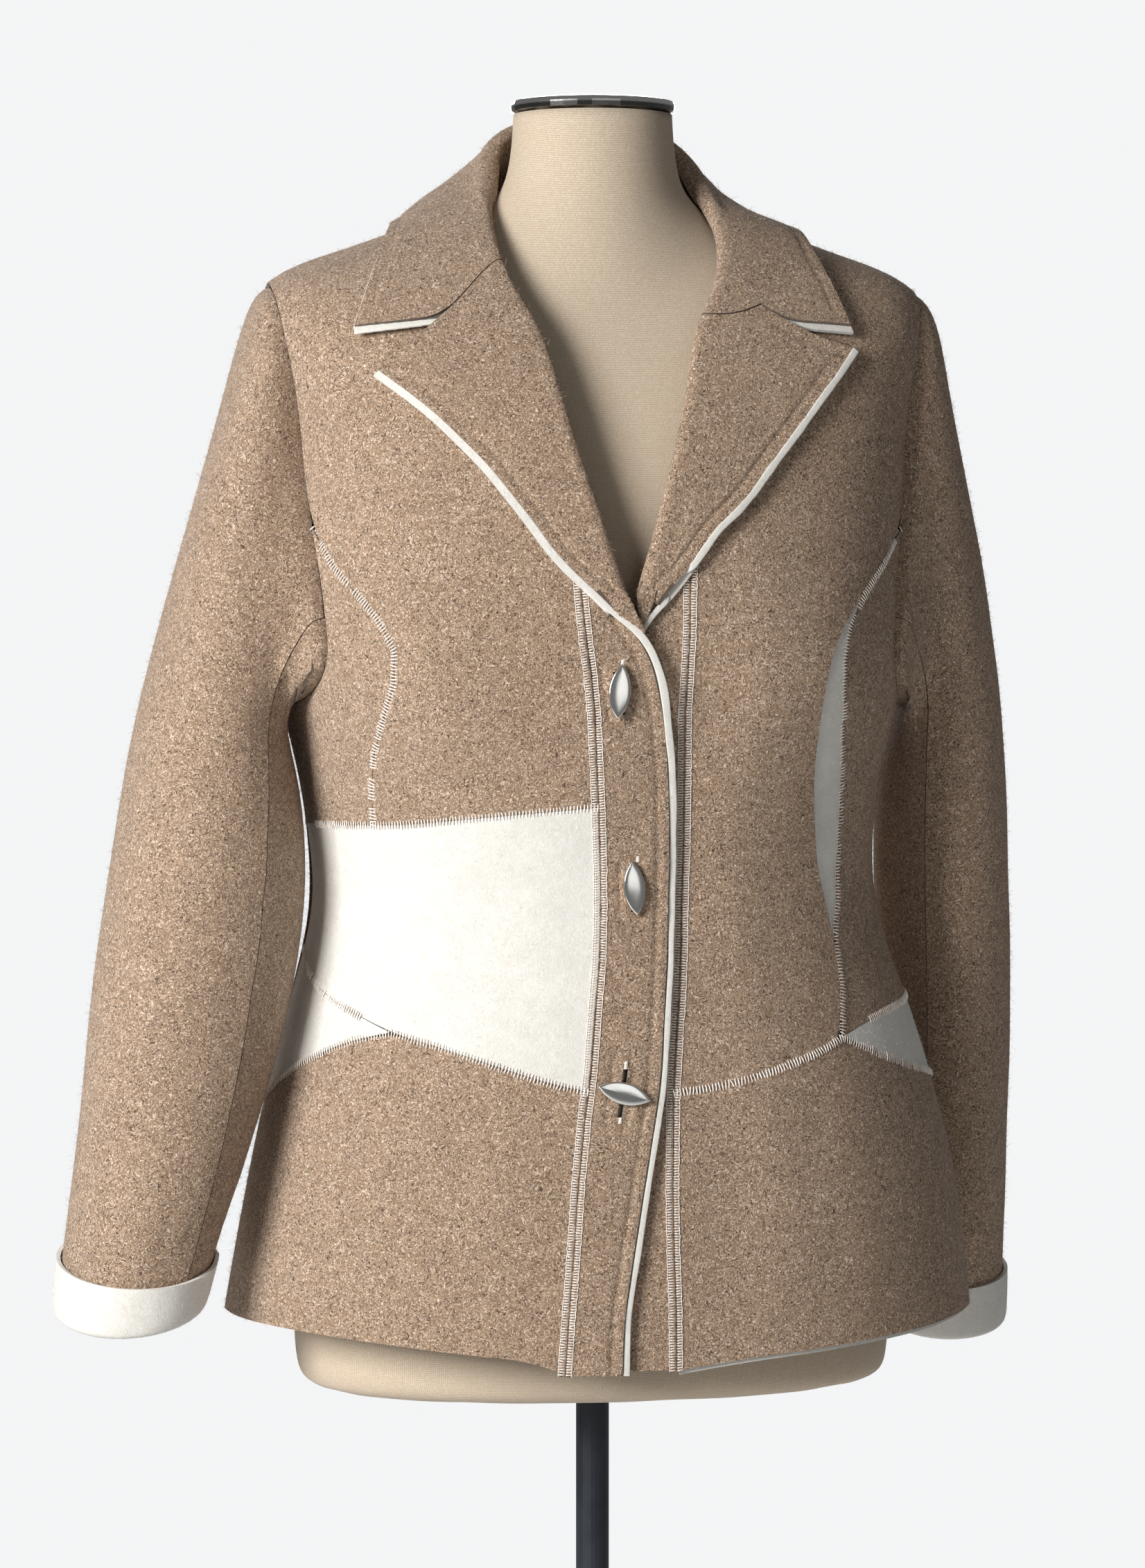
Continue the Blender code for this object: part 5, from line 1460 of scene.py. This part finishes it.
@dataclass
class Button:
    """A lens-shaped domed button in polished metal, and the edging of its hole."""

    node: str
    tilt: float = 0.0
    hole_from: float = 0.0165
    hole_to: float = 0.02
    sides: int = 48
    length: float = 0.0325
    width: float = 0.013
    thickness: float = 0.0042
    curve: float = 4.0
    hole_pitch: float = 0.0009
    hole_slope: float = 0.13
    hole_half: float = 0.0011
    hole_thread: float = 0.0005
    hole_reach: float = 0.012
    hole_lift: float = 0.0002
    hole_rise: float = 0.0003

    def build(self, nodes: Nodes) -> Piece:
        """Make the button where its solid lies.

        Args:
            nodes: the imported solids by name.

        Returns:
            The piece.
        """
        points = points_of(nodes[self.node].data)
        out = unit(np.array([points[:, 0].mean() * self.curve, -1.0, 0.0]))
        high = points[(points @ out) > (points @ out).max() - self.thickness]
        centre = high.mean(axis=0)
        spread = high - centre
        spread = spread - np.outer(spread @ out, out)
        _, _, ways = np.linalg.svd(spread, full_matrices=False)
        long_way = unit(ways[0])
        short_way = unit(np.cross(out, long_way))
        turned = math.radians(self.tilt)
        long_way, short_way = (long_way * math.cos(turned) + short_way * math.sin(turned),
                               short_way * math.cos(turned) - long_way * math.sin(turned))
        foot = out * ((high @ out).min() - centre @ out)
        half_long = self.length / 2
        half_wide = self.width / 2
        arc = (half_long ** 2 + half_wide ** 2) / (2 * half_wide)
        turns = np.linspace(0, math.tau, self.sides, endpoint=False)
        reach = half_long * np.cos(turns)
        breadth = np.sign(np.round(np.sin(turns), 9)) \
            * (np.sqrt(arc ** 2 - reach ** 2) - (arc - half_wide))
        build = bmesh.new()
        loop = bmesh.ops.create_circle(build, segments=self.sides, radius=1.0)["verts"]
        edges = build.edges[:]
        rings = [loop]
        for _ in BUTTON_PROFILE[1:]:
            made = bmesh.ops.extrude_edge_only(build, edges=edges)["geom"]
            edges = [item for item in made if isinstance(item, bmesh.types.BMEdge)]
            new = [item for item in made if isinstance(item, bmesh.types.BMVert)]
            edges = [edge for edge in edges if all(vertex in new for vertex in edge.verts)]
            rings.append(new)
        for ring, (scale, height) in zip(rings, BUTTON_PROFILE):
            for index, vertex in enumerate(ring):
                flat = long_way * reach[index] + short_way * breadth[index]
                vertex.co = centre + foot + flat * scale + out * height
        bmesh.ops.contextual_create(build, geom=edges)
        bmesh.ops.contextual_create(build, geom=[edge for edge in build.edges if edge.is_boundary])
        bmesh.ops.recalc_face_normals(build, faces=build.faces)
        name = self.node + "_metal"
        piece = piece_of(mesh_of(build, name), name, NICKEL, 50.0)
        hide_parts(self.node)
        return piece

    def hole(self, nodes: Nodes, surface: Surface) -> Piece:
        """The pale edging of the buttonhole that shows above and below the button.

        Args:
            nodes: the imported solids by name.
            surface: the cloth that the buttonhole is in.

        Returns:
            The piece.
        """
        points = points_of(nodes[self.node].data)
        centre = (points.min(axis=0) + points.max(axis=0)) / 2
        out = np.array([0.0, -1.0, 0.0])
        levels = np.arange(self.hole_from, self.hole_to, self.hole_pitch)
        if self.tilt:
            levels = np.concatenate([-levels[::-1], levels])
        middles = centre + levels[:, None] * np.array([self.hole_slope, 0.0, 1.0])
        middles = np.array([surface.drop(middle, out, self.hole_reach) for middle in middles])
        outs = np.repeat(out[None], len(levels), axis=0)
        half = np.array([self.hole_half, 0.0, 0.0]) * np.ones((len(levels), 1))
        return Thread(self.hole_thread).sew(self.node + "_hole", middles + outs * self.hole_lift,
                                            half, outs, np.ones(len(levels)), self.hole_rise,
                                            THREAD)


@dataclass
class DressForm:
    """The linen-covered form, its neck plate and its stand."""

    levels: int = 2
    smooth: float = 60.0

    def build(self, nodes: Nodes) -> Piece:
        """Dress the form and the metal that carries it.

        Args:
            nodes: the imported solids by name.

        Returns:
            The form's cover.
        """
        cover = piece_of(finer(nodes["form_torso"], self.levels), "form_cover", LINEN,
                         self.smooth)
        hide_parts("form_torso")
        for name, finish, slot in (("neck_cap", PLATE, "nickel"), ("pole", STEEL, "dark_steel"),
                                   ("base_plate", STEEL, "dark_steel"),
                                   ("base_socket", STEEL, "dark_steel")):
            nodes[name].data.materials.clear()
            nodes[name].data.materials.append(PALETTE.get(finish))
        return cover


# The photograph's set

# Each light's name, place, power and size
LAMPS = (("key", (-1.98, -1.58, 1.76), 95.0, 1.0), ("fill", (0.56, -3.35, 1.34), 4.0, 1.15),
         ("back", (0.3, 3.0, 2.1), 62.0, 2.0))


@dataclass(frozen=True)
class Studio:
    """A pale floor, soft light and the camera at the photograph's angle."""

    eye_height: float = 1.188
    distance: float = 3.0
    azimuth: float = math.radians(-9.5)
    lens: float = 112.3
    aim_right: float = -0.0123
    aim_height: float = 1.065
    light_aim: Point = (0.0, 0.0, 1.1)
    floor_radius: float = 2.7
    floor_colours: tuple[Colour, Colour] = ((0.8, 0.8, 0.8), (0.74, 0.74, 0.74))
    sky_light: float = 0.17
    sky_colour: Colour = (0.9, 0.905, 0.915)
    backdrop: Colour = (0.905, 0.91, 0.918)

    def build(self) -> None:
        """Make the floor, the lights and the camera."""
        self.floor()
        self.lights()
        self.camera()

    def floor(self) -> None:
        """A plain pale disc."""
        build = bmesh.new()
        bmesh.ops.create_circle(build, cap_ends=True, segments=128, radius=self.floor_radius)
        mesh = mesh_of(build, "floor")
        shader = Shader("pale_floor")
        shade = shader.noise(shader.place(), 3.0, 4.0)
        shader.colour(shader.mix(shade * 0.3, *self.floor_colours))
        shader.set("Roughness", 0.85)
        mesh.materials.append(shader.material)
        in_scene("floor", mesh)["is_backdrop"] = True

    def lights(self) -> None:
        """Soft light from the viewer's left, from the right and from behind, and the sky."""
        for name, place, power, size in LAMPS:
            light = bpy.data.lights.new(name, "AREA")
            light.energy = power
            light.size = size
            lamp = in_scene(name, light)
            lamp.location = place
            aim = Vector(self.light_aim) - Vector(place)
            lamp.rotation_euler = aim.to_track_quat("-Z", "Y").to_euler()
        world = bpy.data.worlds.new("studio")
        world.use_nodes = True
        tree = world.node_tree
        sky = tree.nodes["Background"]
        sky.inputs[0].default_value = (*self.sky_colour, 1.0)
        sky.inputs[1].default_value = self.sky_light
        seen = tree.nodes.new("ShaderNodeBackground")
        seen.inputs[0].default_value = (*self.backdrop, 1.0)
        rays = tree.nodes.new("ShaderNodeLightPath")
        mix = tree.nodes.new("ShaderNodeMixShader")
        tree.links.new(rays.outputs["Is Camera Ray"], mix.inputs[0])
        tree.links.new(sky.outputs[0], mix.inputs[1])
        tree.links.new(seen.outputs[0], mix.inputs[2])
        tree.links.new(mix.outputs[0], tree.nodes["World Output"].inputs[0])
        bpy.context.scene.world = world
        bpy.context.scene.view_settings.view_transform = "Standard"

    def camera(self) -> None:
        """The camera, turned towards the middle of the picture."""
        lens = bpy.data.cameras.new("camera")
        lens.lens = self.lens
        lens.sensor_width = 36.0
        eye = Vector((math.sin(self.azimuth) * self.distance,
                      -math.cos(self.azimuth) * self.distance, self.eye_height))
        right = Vector((math.cos(self.azimuth), math.sin(self.azimuth), 0.0))
        aim = right * self.aim_right + Vector((0.0, 0.0, self.aim_height))
        camera = in_scene("camera", lens)
        camera.location = eye
        camera.rotation_euler = (aim - eye).to_track_quat("-Z", "Y").to_euler()
        bpy.context.scene.camera = camera


def corners(box: tuple[Vector, Vector]) -> list[list[float]]:
    """A box's two corners as plain lists of numbers."""
    return [[float(part) for part in corner] for corner in box]


def main() -> None:
    """Build the coat, the form and the set in order."""
    logging.basicConfig(level=logging.INFO, format="%(name)s %(message)s")
    for item in list(bpy.data.objects):
        bpy.data.objects.remove(item, do_unlink=True)
    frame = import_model()
    packed_box = corners(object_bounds())
    nodes = frame["nodes"]
    Studio().build()
    DressForm().build(nodes)
    for panel in PANELS:
        panel.build(nodes)
    surface = Surface(panel.piece for panel in PANELS)
    trims: dict[str, list[Piece]] = {panel.node: [] for panel in PANELS}
    for node, pieces in Sewing(nodes, surface).build().items():
        trims[node] += pieces
    for button in (Button("button_1"), Button("button_2"),
                   Button("button_3", -14.0, 0.0068, 0.018)):
        button.build(nodes)
        trims["right_front_band"].append(button.hole(nodes, surface))
    for node, tape in TAPES.items():
        trims[node].append(tape.build(nodes))
    for panel in PANELS:
        panel.declare(trims[panel.node])
    taupe = [panel for panel in PANELS if panel.wool is Wool.TAUPE]
    ivory = [panel for panel in PANELS if panel.wool is Wool.IVORY]
    Fuzz("taupe_fuzz", TAUPE_FIBRE, Wool.TAUPE, 42000, 0.0028, 5).build(taupe)
    Fuzz("taupe_halo", TAUPE_FIBRE, Wool.TAUPE, 28000, 0.0042, 7, 0.0001, (0.5, 1.6)).build(taupe)
    Fuzz("ivory_fuzz", IVORY_FIBRE, Wool.IVORY, 11000, 0.002, 6).build(ivory)
    {"cad": packed_box, "visual": corners(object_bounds())}


if __name__ == "__main__":
    main()
